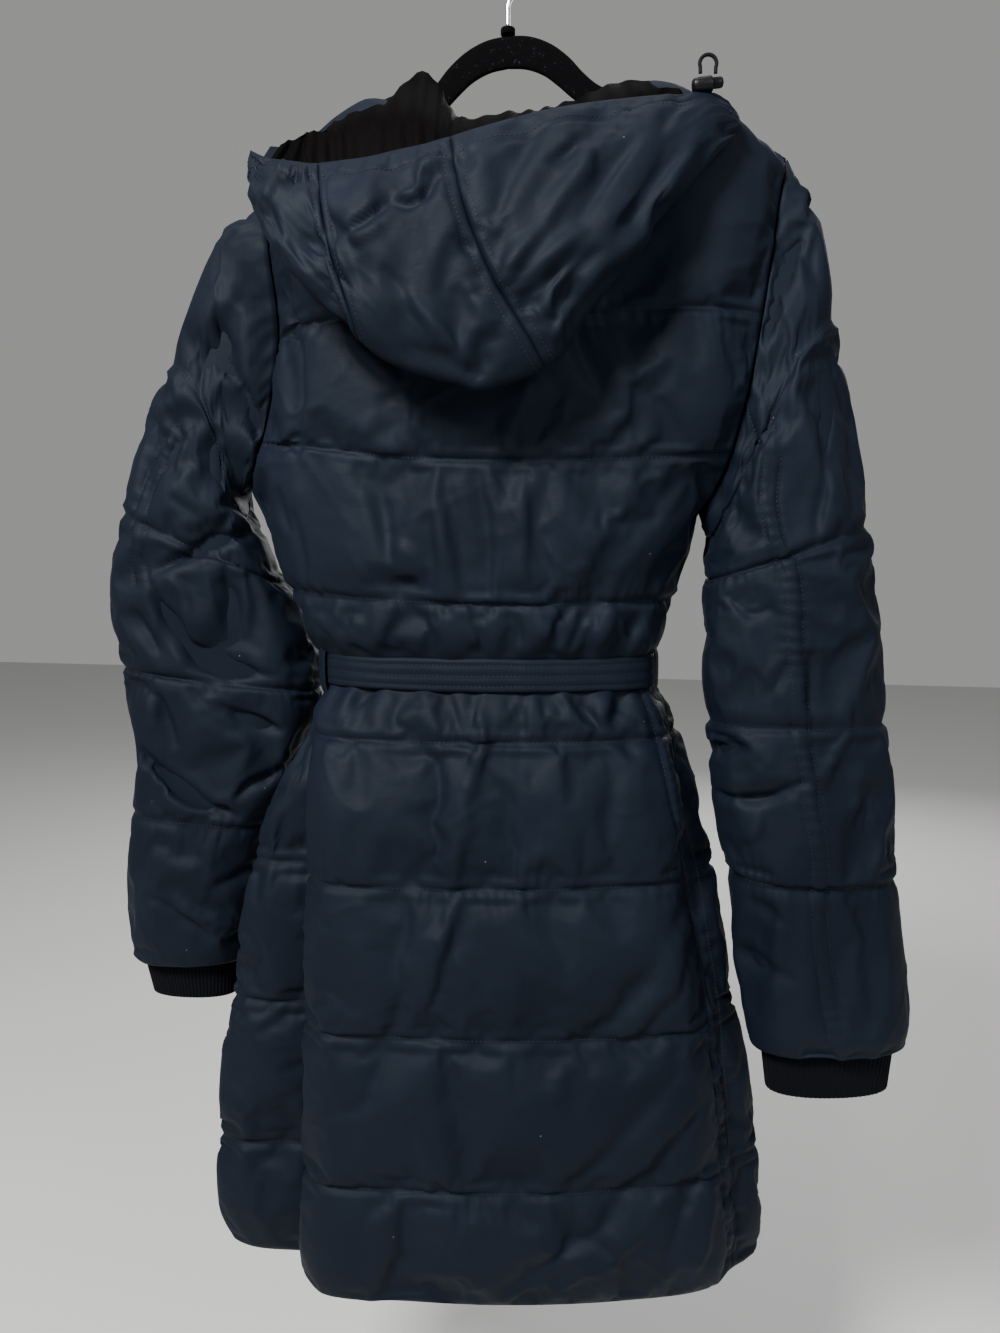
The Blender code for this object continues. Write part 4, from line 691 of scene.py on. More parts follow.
def creases(place, down, seed):
    """Height of a sparse net of small creases that run mostly one way, between 0 and 1."""
    total = 0.0
    for number, (c, s) in enumerate(((0.8, 0.6), (0.45, -0.9))):
        long = (place * s + down * c) / 2.6
        wide = place * c - down * s
        line = (1.0 - np.abs(cloudy(wide, long, 21.0, seed + number))) ** 6
        here = cloudy(wide, long, 37.0, seed + 5 + number)
        total = total + line * np.clip(0.15 + here, 0.0, 1.0)
    return total


def split_folds(folds):
    """Broad folds, for the cloth before it is simulated, and narrow ones."""
    return [f for f in folds if f[5] >= NARROW], [f for f in folds if f[5] < NARROW]


def beside(points, route):
    """Length along a line over x and z up to the place nearest each point, and the distance from
    it, positive on one side and negative on the other."""
    route = np.asarray(route, float)
    at = along(route)
    x, z = points[..., 0], points[..., 2]
    best, length, side = np.full(x.shape, 1e9), np.zeros(x.shape), np.ones(x.shape)
    for i, (a, b) in enumerate(zip(route[:-1], route[1:])):
        step = b - a
        t = np.clip(((x - a[0]) * step[0] + (z - a[1]) * step[1]) / (step @ step), 0.0, 1.0)
        dx, dz = x - a[0] - t * step[0], z - a[1] - t * step[1]
        away = np.hypot(dx, dz)
        near = away < best
        best = np.where(near, away, best)
        length = np.where(near, at[i] + t * (at[i + 1] - at[i]), length)
        side = np.where(near, np.sign(dx * step[1] - dz * step[0]), side)
    return length, best * side


def groove(away, depth, half_width):
    """Depth of a groove at a distance from its middle."""
    return depth * np.exp(-((away / half_width) ** 2))


def strip_height(points, route, half, seed):
    """Height of a felled seam: a raised strip between two stitched grooves, with small gathers."""
    length, away = beside(points, route)
    total = along(np.asarray(route, float))[-1]
    ends = np.clip(np.minimum(length, total - length) / 8.0, 0.0, 1.0)
    off = np.abs(away)
    raised = STRIP_HEIGHT * np.clip((half - off) / 1.6 + 0.5, 0.0, 1.0)
    grooves = groove(off - half, *STRIP_GROOVE)
    phase = length / STRIP_GATHER_LENGTH + 0.8 * wander(length, 30.0, seed) + 0.10 * away / half
    strength = 0.45 + 0.55 * np.clip(0.5 + wander(length, 45.0, seed + 1), 0.0, 1.0)
    gathers = strength * np.sin(2 * math.pi * phase) * np.exp(-((off / (1.7 * half)) ** 2))
    return ends * (raised - grooves + gathers)


def facing_back(normals):
    """How much each direction faces the back, from 0 to 1."""
    return np.clip(0.5 - 1.6 * normals[..., 1], 0.0, 1.0)


def armhole_edge(side, face, z):
    """A point of the armhole's back or front edge at a height."""
    v = looked_up(ARMHOLES[side], ARMHOLE_COLUMNS, z)
    return np.array((v["x"], v[face + "_y"], float(z)))


def armhole_normal(side, face, z):
    """Direction shared by the body's wall and the sleeve's where they meet."""
    top, bottom = ARMHOLES[side][0][0], ARMHOLES[side][-1][0]
    line = (armhole_edge(side, face, min(z + ARMHOLE_STEP, top))
            - armhole_edge(side, face, max(z - ARMHOLE_STEP, bottom)))
    facing = -1.0 if face == "back" else 1.0
    radial = np.array((0.0, facing * abs(line[2]), line[1] * -facing))
    if z >= top - 1.0:
        radial = np.array((0.0, 0.0, 1.0))
    if z <= bottom + 1.0:
        radial = np.array((0.0, 0.0, -1.0))
    return unit(unit(radial) + np.array((ARMHOLE_LEAN * OUTWARD[side], 0.0, 0.0)))


def body_heights():
    """Heights of the rows of the body's panels below the yoke, from its lower line to the hem,
    with each one's place in its channel."""
    lines = (HEM_Z,) + QUILT_Z
    heights = [(lines[-1], 0.0)]
    for low, high in reversed(list(zip(lines[:-1], lines[1:]))):
        count = round((high - low) / CLOTH_STEP)
        heights += [(low + (high - low) * k / count, k / count) for k in reversed(range(count))]
    return heights


def yoke_places():
    """Places of the yoke's rows from the shoulder down, and how far each has turned over it."""
    over = [1.0 - math.cos(math.asin(t)) ** SHOULDER_ROUND if t < 1.0 else 1.0
            for t in YOKE_STEPS]
    dense = np.linspace(0.0, 1.0, 200)
    over = smooth(YOKE_STEPS, over, dense)
    length = along(np.stack((dense * YOKE_LENGTH, over * 0.5 * YOKE_LENGTH), axis=1))
    cut = np.linspace(length[-1], 0.0, round(length[-1] / CLOTH_STEP) + 1)[:-1]
    return np.interp(cut, length, dense), np.interp(cut, length, over)


def back_row(z):
    """Points of the back panel at one height."""
    v = looked_up(BACK_ROWS, BACK_COLUMNS, z)
    left, right = (v["seam_l_x"], v["seam_l_y"]), (v["seam_r_x"], v["seam_r_y"])
    if z >= PIT_Z:
        left = armhole_edge("left", "back", v["z_left"])[:2]
        right = armhole_edge("right", "back", v["z_right"])[:2]
    plan = [
        left, (v["wrap_x"], v["wrap_y"]), (v["turn_x"], v["turn_y"]),
        (0.5 * v["turn_x"], 0.3 * v["turn_y"] + 0.7 * v["mid_y"]), (0.0, v["mid_y"]),
        (0.55 * v["edge_x"], 0.25 * v["edge_y"] + 0.75 * v["mid_y"]),
        (v["edge_x"], v["edge_y"]), right,
    ]
    share = [abs(p[0]) / abs(plan[0 if p[0] < 0 else -1][0]) for p in plan]
    ends = [v["z_left"] if p[0] < 0 else v["z_right"] for p in plan]
    points = [(p[0], p[1], z + (e - z) * min(s, 1.0) ** 2) for p, s, e in zip(plan, share, ends)]
    return through(points, [CELLS * n for n in BACK_CELLS])


def front_row(z, side):
    """Points of one front at one height, from its side seam to the middle."""
    v = looked_up(FRONT_ROWS, FRONT_COLUMNS, z)
    seam = back_row(z)[0 if side == "left" else -1]
    if z >= PIT_Z:
        seam = armhole_edge(side, "front", seam[2])
    plan = [(v[point + "_x"], v[point + "_y"]) for point in FRONT_POINTS[side]]
    plan.append((CENTRE_X + OUTWARD[side] * PLACKET_HALF, v["mid_y"] - 1.0))
    plan.append((CENTRE_X, v["mid_y"]))
    points = [seam]
    for x, y in plan:
        share = min(abs(x - CENTRE_X) / abs(seam[0] - CENTRE_X), 1.0) ** 2
        points.append((x, y, z + (seam[2] - z) * share))
    return through(points, [CELLS * n for n in FRONT_CELLS[side]])


def top_row(line, like):
    """A panel's top edge, with its points spaced like those of the row below the yoke."""
    dense = through(line, (12,) * (len(line) - 1))
    return read_at(shares(like), shares(dense), dense)


def half_top(side):
    """The top edge of one front, from the shoulder's tip to the middle."""
    middle = [p[0] for p in TOP_FRONT].index(CENTRE_X)
    return TOP_FRONT[: middle + 1] if side == "left" else TOP_FRONT[middle:][::-1]


def panel_grid(row_at, top_line, bulge_y, edges):
    """Rows of a panel from its top edge down, with each row's place in its channel. Its edges
    along an armhole are given as (column, side, face)."""
    heights = body_heights()
    yoke = row_at(heights[0][0])
    top = top_row(top_line, yoke)
    quiet = fading(shares(yoke))
    rows, places = [], []
    for t, over in zip(*yoke_places()):
        row = yoke + (top - yoke) * t
        row[:, 1] = yoke[:, 1] + (top[:, 1] - yoke[:, 1]) * over
        row[:, 1] += bulge_y * math.sin(math.pi * t) * quiet
        for edge, side, face in edges:
            moved = armhole_edge(side, face, row[edge, 2]) - row[edge]
            nearness = np.clip(1.0 - shares(row) * 4.0, 0.0, 1.0)
            row += moved * (nearness if edge == 0 else nearness[::-1])[:, None]
        rows.append(row)
        places.append(t)
    for z, place in heights:
        rows.append(row_at(z))
        places.append(place)
    return np.array(rows), np.array(places)


def pleat_height(name, grid):
    """Height of the pleats that the belt gathers, none under the belt itself."""
    place = np.array([along(row) for row in grid])
    total = np.zeros(grid.shape[:2])
    away = grid[:, :, 2] - BELT_Z
    for at, half_width, height, above, below in PLEATS[name]:
        reach = np.where(away > 0, above, below)
        fade = np.exp(-((away / reach) ** 2)) * (1.0 - np.exp(-((away / 16.0) ** 2)))
        middle = at * place[:, -1:] + 0.08 * away
        width = half_width * (1.0 + np.abs(away) / 60.0)
        total += height * fade * np.exp(-(((place - middle) / width) ** 2))
    return total


def channel_height(grid, places):
    """Height of the quilting: full in a channel's middle and none at stitched lines and seams."""
    height = PUFF * np.sin(math.pi * np.clip(places, 0.0, 1.0)) ** CREST
    height = np.repeat(height[:, None], grid.shape[1], axis=1)
    for i, row in enumerate(grid):
        steps = along(row)
        for reach in (steps, steps[-1] - steps):
            height[i] *= np.minimum(reach / SEAM_REACH, 1.0) ** 0.5
    pinch = 1.0 - BELT_PINCH * np.exp(-(((grid[:, :, 2] - BELT_Z) / BELT_PINCH_REACH) ** 2))
    return height * pinch


def trim(grid, left, right, top=0.0):
    """Edge points moved back along the panel, which leaves the gaps at seams."""
    out = grid.copy()
    out[:, 0] += unit(grid[:, 1] - grid[:, 0]) * left
    out[:, -1] += unit(grid[:, -2] - grid[:, -1]) * right
    out[0] += unit(grid[1] - grid[0]) * top
    return out


def share_normals(first, second):
    """The same direction for two edges that meet."""
    both = unit(first + second)
    first[...] = both
    second[...] = both


def held_edges(grid):
    """Marks the points along all four edges of a grid."""
    held = np.zeros(grid.shape[:2], bool)
    held[[0, -1]] = held[:, [0, -1]] = True
    return held


def body():
    """Back and fronts: their stitched surfaces, directions and quilting heights."""
    panels = {}
    for name, row_at, line, bulge, edges in (
        ("back", back_row, TOP_BACK, -YOKE_BULGE, ((0, "left", "back"), (-1, "right", "back"))),
        ("front_left", lambda z: front_row(z, "left"), half_top("left"), 0.5 * YOKE_BULGE,
         ((0, "left", "front"),)),
        ("front_right", lambda z: front_row(z, "right"), half_top("right"), 0.5 * YOKE_BULGE,
         ((0, "right", "front"),)),
    ):
        grid, places = panel_grid(row_at, line, bulge, edges)
        normals = grid_normals(grid)
        if name == "front_left":
            normals = -normals
        panels[name] = {"name": name, "grid": grid, "places": places, "normals": normals}
    yoke_rows = len(yoke_places()[0])
    heights = [z for z, _ in body_heights()]
    first_low = yoke_rows + sum(1 for z in heights if z >= PIT_Z)
    back, left, right = panels["back"], panels["front_left"], panels["front_right"]
    share_normals(back["normals"][first_low:, 0], left["normals"][first_low:, 0])
    share_normals(back["normals"][first_low:, -1], right["normals"][first_low:, 0])
    share_normals(left["normals"][:, -1], right["normals"][:, -1])
    for panel, edge, side, face in (
        (back, 0, "left", "back"), (back, -1, "right", "back"), (left, 0, "left", "front"),
        (right, 0, "right", "front"),
    ):
        for i in range(first_low):
            panel["normals"][i, edge] = armhole_normal(side, face, panel["grid"][i, edge, 2])
    for panel in panels.values():
        shoulder = np.abs(panel["grid"][0, :, 0]) >= SHOULDER_X
        panel["normals"][0, shoulder] = unit(np.array((0.0, 0.0, 1.0)))
        panel["normals"] = soften(panel["normals"], BODY_EVENED)
        panel["armhole_rows"] = first_low
        panel["lines"] = [yoke_rows + i for i, z in enumerate(heights) if z in QUILT_Z]
        quiet = fading(np.array([shares(row) for row in panel["grid"]]))
        broad, panel["narrow"] = split_folds(BACK_FOLDS if panel is back else FRONT_FOLDS)
        folds = fold_height(panel["grid"], broad)
        folds = folds * (facing_back(panel["normals"]) if panel is back else 1.0)
        lift = (folds + pleat_height(panel["name"], panel["grid"])) * quiet
        panel["grid"] = panel["grid"] + panel["normals"] * lift[:, :, None]
        panel["height"] = channel_height(panel["grid"], panel["places"])
        panel["grid"] = trim(panel["grid"], SEAM_GAP / 2, SEAM_GAP / 2, top=SEAM_GAP)
        held = held_edges(panel["grid"])
        held[panel["lines"]] = True
        held |= np.abs(panel["grid"][:, :, 2] - BELT_Z) < 0.6 * BELT_HEIGHT
        panel["held"] = held
        panel["closed"] = False
    return panels


def armhole_loop(side, panels):
    """The armhole's points from its top down the back and up the front, with their directions,
    read from the edges of the panels."""
    edge = 0 if side == "left" else -1
    count = panels["back"]["armhole_rows"]
    loops = []
    for part in ("grid", "normals"):
        back = panels["back"][part][:count, edge]
        front = panels["front_" + side][part][:count, 0]
        ends = (back[[0, -1]] + front[[0, -1]]) / 2
        loops.append(np.concatenate((ends[:1], back[1:-1], ends[1:], front[1:-1][::-1], ends[:1])))
    at = along(loops[0])
    bottom = at[count - 1]
    half = SLEEVE_AROUND // 2
    cut = np.concatenate((np.linspace(0.0, bottom, half, endpoint=False),
                          np.linspace(bottom, at[-1], half, endpoint=False)))
    points, normals = (read_at(cut, at, loop) for loop in loops)
    return points, unit(normals)


def oval(v, turn):
    """A squarish oval between an outer and an inner point, going from the outer point over -Y."""
    c, s = np.cos(turn), np.sin(turn)
    wide = np.sign(c) * np.abs(c) ** 0.88
    deep = np.sign(s) * np.abs(s) ** 0.88
    x = (v["outer_x"] + v["inner_x"]) / 2 + wide * (v["outer_x"] - v["inner_x"]) / 2
    z = (v["outer_z"] + v["inner_z"]) / 2 + wide * (v["outer_z"] - v["inner_z"]) / 2
    return np.stack((x, v["mid_y"] - deep * v["half_depth"], z), axis=1)


def sleeve_points(side, rows, turn, loop):
    """Points of a sleeve, each angle at its own place between the rows of the table. From 0 down
    to -1 they run on to the armhole's loop."""
    table = SLEEVES[side]
    at = np.arange(len(table))
    rows = np.broadcast_to(rows, turn.shape)
    v = {n: smooth(at, column(table, SLEEVE_COLUMNS, n), np.maximum(rows, 0.0))
         for n in SLEEVE_COLUMNS}
    above = np.clip(-rows, 0.0, 1.0)[:, None]
    return oval(v, turn) * (1.0 - above) + loop * above


def crumple(side, around, rows):
    """Height of a sleeve's slanting folds on the side that faces the front."""
    total = np.zeros_like(around)
    for a0, r0, a1, r1, reach, height in SLEEVE_FOLDS[side]:
        t = np.clip((rows - r0) / (r1 - r0), 0.0, 1.0)
        away = np.abs(around - (a0 + (a1 - a0) * t))
        away = np.minimum(away, 1.0 - away)
        total += height * np.sin(math.pi * t) ** 0.7 * np.exp(-((away / reach) ** 2))
    return total


def sleeve(side, panels):
    """A quilted sleeve from the armhole to its end."""
    outward = OUTWARD[side]
    loop, loop_normals = armhole_loop(side, panels)
    loop = loop + np.array((outward * SLEEVE_SET, 0.0, 0.0))
    around = np.arange(SLEEVE_AROUND) / SLEEVE_AROUND
    turn = around * 2 * math.pi
    stops = [np.full(SLEEVE_AROUND, -1.0)]
    stops += [np.full(SLEEVE_AROUND, row) for row in SLEEVE_LINES[side]]
    stops[1] = stops[1] - SLEEVE_TILT[side] * np.sin(math.pi * around) ** 2
    rings, heights, lines = [], [], []
    for number, (start, end) in enumerate(zip(stops[:-1], stops[1:])):
        middles = [sleeve_points(side, r, turn, loop).mean(axis=0) for r in (start, end)]
        count = round(np.linalg.norm(middles[1] - middles[0]) / CLOTH_STEP)
        lines.append(len(rings))
        for k in range(count):
            rows = start + (end - start) * k / count
            rings.append(sleeve_points(side, rows, turn, loop))
            place = k / count if number else SLEEVE_START + (1 - SLEEVE_START) * k / count
            rise = min(k / SLEEVE_RISE_ROWS, 1.0) if not number else 1.0
            heights.append(rise * (SLEEVE_PUFF * math.sin(math.pi * place) ** CREST
                                   + crumple(side, around, rows)))
    rings.append(sleeve_points(side, stops[-1], turn, loop))
    heights.append(np.zeros(SLEEVE_AROUND))
    grid, heights = np.array(rings), np.array(heights)
    normals = grid_normals(grid, closed=True) * outward
    if np.sum(normals[12] * (grid[12] - grid[12].mean(axis=0))) < 0:
        normals = -normals
    normals[0] = loop_normals
    for i in (1, 2, 3):
        normals[i] = unit(loop_normals * (1.0 - i / 4.0) + normals[i] * i / 4.0)
    broad, narrow = split_folds(ARM_FOLDS[side])
    heights[1:-1] += (fold_height(grid, broad) * facing_back(normals))[1:-1]
    held = np.zeros(grid.shape[:2], bool)
    held[[0, -1]] = True
    held[lines[1:]] = True
    return {
        "name": "sleeve_" + side, "grid": grid, "normals": normals, "height": heights,
        "lines": lines[1:], "held": held, "closed": True, "narrow": narrow,
    }


def nearest_y(points, x, z, reach, pick, otherwise=None):
    """The least or greatest y of a surface's points near a place."""
    near = points[np.hypot(points[:, 0] - x, points[:, 2] - z) < reach]
    return pick(near[:, 1]) if len(near) else otherwise


def hood_line(u, back_points):
    """One line of the hood from its rim down the near side and up the far side."""
    v = looked_up(HOOD_ROWS, HOOD_COLUMNS, u)
    rim, low, far = (
        np.array([v[part + axis] for axis in ("_x", "_y", "_z")]) for part in ("rim", "low", "far")
    )
    bulge = HOOD_BULGE * min(np.linalg.norm(low - rim) / 120.0, 1.0)
    points = [rim]
    for t in (0.3, 0.62, 0.9):
        out = bulge * math.sin(math.pi * t**0.9) ** 0.8
        bow = np.interp(u, *zip(*HOOD_BOW)) * math.sin(math.pi * t)
        points.append(rim + (low - rim) * t + np.array((bow, -out, 0.0)))
    points[-1][1] = min(points[-1][1], low[1] - 0.6 * bulge)
    points.append(low)
    points.append(low + (far - low) * 0.1)
    points[-1][1] = low[1] + 0.9 * bulge
    points.append(far)
    line = evenly(through(points, (8, 8, 8, 8, 8, 24)), HOOD_DOWN + 1)
    for k in range(HOOD_DOWN // 2, HOOD_DOWN + 1):
        attached = k == HOOD_DOWN and HOOD_NECK[0] < u < HOOD_NECK[1]
        reach = 0.3 * HOOD_REACH if attached else HOOD_REACH
        clear = HOOD_WALL / 2 + (2 * SEAM_GAP if attached else HOOD_CLEAR)
        for _ in range(2):
            limit = nearest_y(back_points, line[k, 0], line[k, 2], reach, np.min, otherwise=1000.0)
            moved = max(line[k, 1] - (limit - clear), 0.0)
            line[k] -= np.array((0.0, moved, HOOD_SAG * moved))
    return line


def hood(back_points):
    """The hood's three panels and the whole surface they are cut from."""
    every = np.linspace(0.0, 1.0, HOOD_ACROSS + 1)
    for _, start, end in HOOD_PANELS[:-1]:
        every[np.argmin(np.abs(every - end))] = end
    grid = np.array([hood_line(u, back_points) for u in every]).transpose(1, 0, 2)
    start = HOOD_DOWN // 2 + 2
    for _ in range(HOOD_EVENED):
        inside = grid[start:-1, 1:-1]
        grid[start:-1, 1:-1] = 0.5 * inside + 0.125 * (
            grid[start - 1:-2, 1:-1] + grid[start + 1:, 1:-1]
            + grid[start:-1, :-2] + grid[start:-1, 2:])
    normals = grid_normals(grid)
    if normals[HOOD_DOWN // 5, len(every) // 2, 1] > 0:
        normals = -normals
    rows = np.arange(HOOD_DOWN + 1) / HOOD_DOWN
    near = np.clip((0.62 - rows) / 0.12, 0.0, 1.0) * np.clip(rows / 0.05, 0.0, 1.0)
    broad, narrow = split_folds(HOOD_FOLDS)
    grid = grid + normals * (fold_height(grid, broad) * near[:, None])[:, :, None]
    half = np.interp(rows, (0, 0.6, 1.0), (HOOD_WALL / 2, HOOD_WALL / 2, HOOD_WALL / 3))
    panels = {}
    for name, start, end in HOOD_PANELS:
        keep = (every >= start - 1e-6) & (every <= end + 1e-6)
        part, part_normals = grid[:, keep], normals[:, keep]
        part = trim(part, SEAM_GAP / 2, SEAM_GAP / 2)
        dip = np.ones(part.shape[:2])
        for i, row in enumerate(part):
            steps = along(row)
            dip[i] = np.minimum(steps, steps[-1] - steps) / HOOD_SEAM_REACH
        dip = np.minimum(dip, 1.0) ** 0.5
        panels[name] = {
            "name": name, "grid": part, "normals": part_normals, "sunk": 0.0,
            "height": half[:, None] * (HOOD_SEAM_SHARE + (1 - HOOD_SEAM_SHARE) * dip),
            "wall": half[:, None],
            "lines": [], "held": held_edges(part), "closed": False, "narrow": narrow,
        }
    return panels, grid, normals, half


def swell(panels):
    """Simulates the outer cloth of every panel at once. Each has some spare cloth and is held
    along its stitched lines and edges, so it swells and puckers between them."""
    scene = bpy.context.scene
    scene.frame_start, scene.frame_end = 1, CLOTH_FRAMES
    sheets = []
    for panel in panels:
        grid = panel["outer"]
        faces = quads(*grid.shape[:2], close_cols=panel["closed"])
        if panel["flip"]:
            faces = [face[::-1] for face in faces]
        mesh = bpy.data.meshes.new(panel["name"] + "_cloth")
        mesh.from_pydata((grid * MM).reshape(-1, 3).tolist(), [], faces)
        sheet = bpy.data.objects.new(panel["name"] + "_cloth", mesh)
        scene.collection.objects.link(sheet)
        group = sheet.vertex_groups.new(name="held")
        group.add(np.flatnonzero(panel["held"]).tolist(), 1.0, "REPLACE")
        cloth = sheet.modifiers.new("cloth", "CLOTH")
        for key, value in CLOTH.items():
            setattr(cloth.settings, key, value)
        cloth.settings.effector_weights.gravity = 0.0
        cloth.collision_settings.use_collision = False
        cloth.point_cache.frame_start, cloth.point_cache.frame_end = 1, CLOTH_FRAMES
        sheets.append((panel, sheet))
    for number in range(1, CLOTH_FRAMES + 1):
        scene.frame_set(number)
    graph = bpy.context.evaluated_depsgraph_get()
    for panel, sheet in sheets:
        mesh = sheet.evaluated_get(graph).to_mesh()
        places = np.empty(len(mesh.vertices) * 3)
        mesh.vertices.foreach_get("co", places)
        moved = places.reshape(panel["outer"].shape) / MM - panel["outer"]
        far = np.linalg.norm(moved, axis=-1, keepdims=True)
        panel["outer"] = panel["outer"] + moved * CLOTH_MOST / np.maximum(far, CLOTH_MOST)
        bpy.data.objects.remove(sheet)
    scene.frame_set(1)


def turned(points):
    """Points of the coat's frame in the row frame, in metres."""
    points = np.asarray(points, float)
    c, s = math.cos(COAT_TURN), math.sin(COAT_TURN)
    x, y = points[..., 0], points[..., 1]
    return np.stack((c * x - s * y, s * x + c * y, points[..., 2]), axis=-1) * MM


def box_middle(box):
    """The middle of a box of the row frame, in the coat's frame."""
    low, high = (np.array(corner) / MM for corner in box)
    x, y, z = (low + high) / 2
    c, s = math.cos(-COAT_TURN), math.sin(-COAT_TURN)
    return np.array((c * x - s * y, s * x + c * y, z))


def face_out(mesh):
    """Turns a closed mesh's faces to point out of it."""
    work = bmesh.new()
    work.from_mesh(mesh)
    if work.calc_volume(signed=True) < 0.0:
        bmesh.ops.reverse_faces(work, faces=work.faces)
    work.to_mesh(mesh)
    work.free()


def add_piece(name, points, faces, finish, uv=None):
    """A closed piece from points in metres, with cloth coordinates for each corner if given."""
    mesh = bpy.data.meshes.new(name)
    mesh.from_pydata(np.asarray(points, float).reshape(-1, 3).tolist(), [], faces)
    if uv is not None:
        layer = mesh.uv_layers.new(name="cloth")
        layer.data.foreach_set("uv", np.asarray(uv, float).ravel())
    face_out(mesh)
    mesh.shade_smooth()
    piece = bpy.data.objects.new(name, mesh)
    piece.data.materials.append(finish)
    bpy.context.scene.collection.objects.link(piece)
    return piece


def quilted_piece(name, outer, inner, finish, closed=False):
    """A padded wall: a fine outer grid, an inner grid with half as many points each way, and the
    rims between them. Cloth coordinates are in metres along the rows and columns."""
    rows, cols = outer.shape[:2]
    half_rows, half_cols = inner.shape[:2]
    across = mean_along(outer)
    down = mean_along([outer[:, j] for j in range(0, cols, 4)])
    step = across[-1] / (cols - 1)
    base = rows * cols
    faces, uv = [], []

    def add(corners):
        faces.append([
            (i * cols + j % cols) if kind == 0 else base + (i * half_cols + j % half_cols)
            for kind, i, j in corners
        ])
        for kind, i, j in corners:
            i, j = (i, j) if kind == 0 else (min(2 * i, rows - 1), 2 * j)
            uv.append(((across[j] if j < cols else across[-1] + step * (j - cols + 1)) * MM,
                       -down[i] * MM))

    for i in range(rows - 1):
        for j in range(cols if closed else cols - 1):
            add([(0, i, j), (0, i + 1, j), (0, i + 1, j + 1), (0, i, j + 1)])
    spans = half_cols if closed else half_cols - 1
    for i in range(half_rows - 1):
        for j in range(spans):
            add([(1, i, j), (1, i, j + 1), (1, i + 1, j + 1), (1, i + 1, j)])
    for j in range(spans):
        add([(0, 0, 2 * j), (0, 0, 2 * j + 1), (0, 0, 2 * j + 2), (1, 0, j + 1), (1, 0, j)])
        add([(0, rows - 1, 2 * j + 2), (0, rows - 1, 2 * j + 1), (0, rows - 1, 2 * j),
             (1, half_rows - 1, j), (1, half_rows - 1, j + 1)])
    if not closed:
        for i in range(half_rows - 1):
            add([(0, 2 * i + 2, 0), (0, 2 * i + 1, 0), (0, 2 * i, 0), (1, i, 0), (1, i + 1, 0)])
            add([(0, 2 * i, cols - 1), (0, 2 * i + 1, cols - 1), (0, 2 * i + 2, cols - 1),
                 (1, i + 1, half_cols - 1), (1, i, half_cols - 1)])
    points = np.concatenate((outer.reshape(-1, 3), inner.reshape(-1, 3)))
    return add_piece(name, turned(points), faces, finish, uv)


def pucker_height(place, away, seed):
    """Height of the small gathers that a stitched line pulls up on both sides of it. place is the
    length along the line and away the distance from it, both in millimetres."""
    total = np.zeros(np.broadcast(place, away).shape)
    for side in (-1.0, 1.0):
        own = seed + (100 if side > 0 else 0)
        fan = place + 0.3 * away * wander(place, 70.0, own + 4)
        phase = fan / GATHER_LENGTH + 1.1 * wander(fan, 31.0, own)
        phase = phase + 0.5 * wander(fan, 12.0, own + 1)
        ridges = np.abs(np.sin(math.pi * phase)) * 2.0 - 1.0
        strength = np.clip(0.45 + 0.55 * wander(fan, 38.0, own + 2), 0.0, 1.0)
        reach = GATHER_REACH[0] + GATHER_REACH[1] * wander(fan, 50.0, own + 3)
        rise = 1.0 - np.exp(-np.abs(away) / GATHER_RISE)
        total += (away * side > 0) * strength * ridges * rise * np.exp(-np.abs(away) / reach)
    return total


def finish_panel(panel, finish, seed):
    """Makes a padded panel's piece: doubles its outer grid, then adds narrow folds, felled seams,
    gathers and small creases."""
    name, closed = panel["name"], panel["closed"]
    grid = fine(panel["outer"], closed)
    normals = grid_normals(grid, closed)
    base = fine(panel["normals"], closed)
    if np.sum(normals * base) < 0:
        normals = -normals
    place = mean_along(grid)[None, :]
    down = mean_along([grid[:, j] for j in range(0, grid.shape[1], 4)])[:, None]
    seen = facing_back(base) if name != "front_left" else 1.0
    lift = sum(height * cloudy(place, down, size, seed + k)
               for k, (height, size) in enumerate(LUMPS))
    lift = lift + CREASED[name.split("_")[0]] * creases(place, down, seed + 7)
    deep = SLEEVE_DEEPER if closed else 1.0
    lift = lift + deep * fold_height(grid, panel["narrow"]) * seen
    for number, line in enumerate(panel["lines"]):
        lift = lift + GATHERS * pucker_height(place, down - down[2 * line], seed + 10 * number)
    if name in STRIPS:
        lift = lift + seen * strip_height(grid, STRIPS[name], STRIP_HALF[name], seed + 3)
    if closed:
        lift = lift + 0.4 * GATHERS * pucker_height(place, down + 0.5, seed + 5)
    else:
        across = np.array([along(row) for row in grid])
        for number, away in enumerate((across, across[:, -1:] - across)):
            lift = lift + 0.7 * GATHERS * pucker_height(down, away + 0.5, seed + 60 + number)
            if name.startswith("hood"):
                lift = lift - groove(away - HOOD_STITCH, *SEAM_GROOVE)
    if name.startswith("hood"):
        below = down - RIM_STITCH
        loose = 2.2 if name == "hood_left" else 1.0
        lift = lift - groove(below, *RIM_GROOVE)
        lift = lift + 0.8 * loose * GATHERS * pucker_height(place, below, seed + 70)
    rows, cols = (np.arange(count) for count in grid.shape[:2])
    edges = np.minimum(rows, rows[::-1])[:, None] / FADE_ROWS
    if not closed:
        edges = np.minimum(edges, np.minimum(cols, cols[::-1])[None, :] / FADE_ROWS)
    lift = lift * np.clip(edges, 0.0, 1.0)
    panel["fine"] = grid + normals * lift[:, :, None]
    panel["out"] = base
    return quilted_piece(name + "_cloth", panel["fine"], panel["inner"], finish, closed)


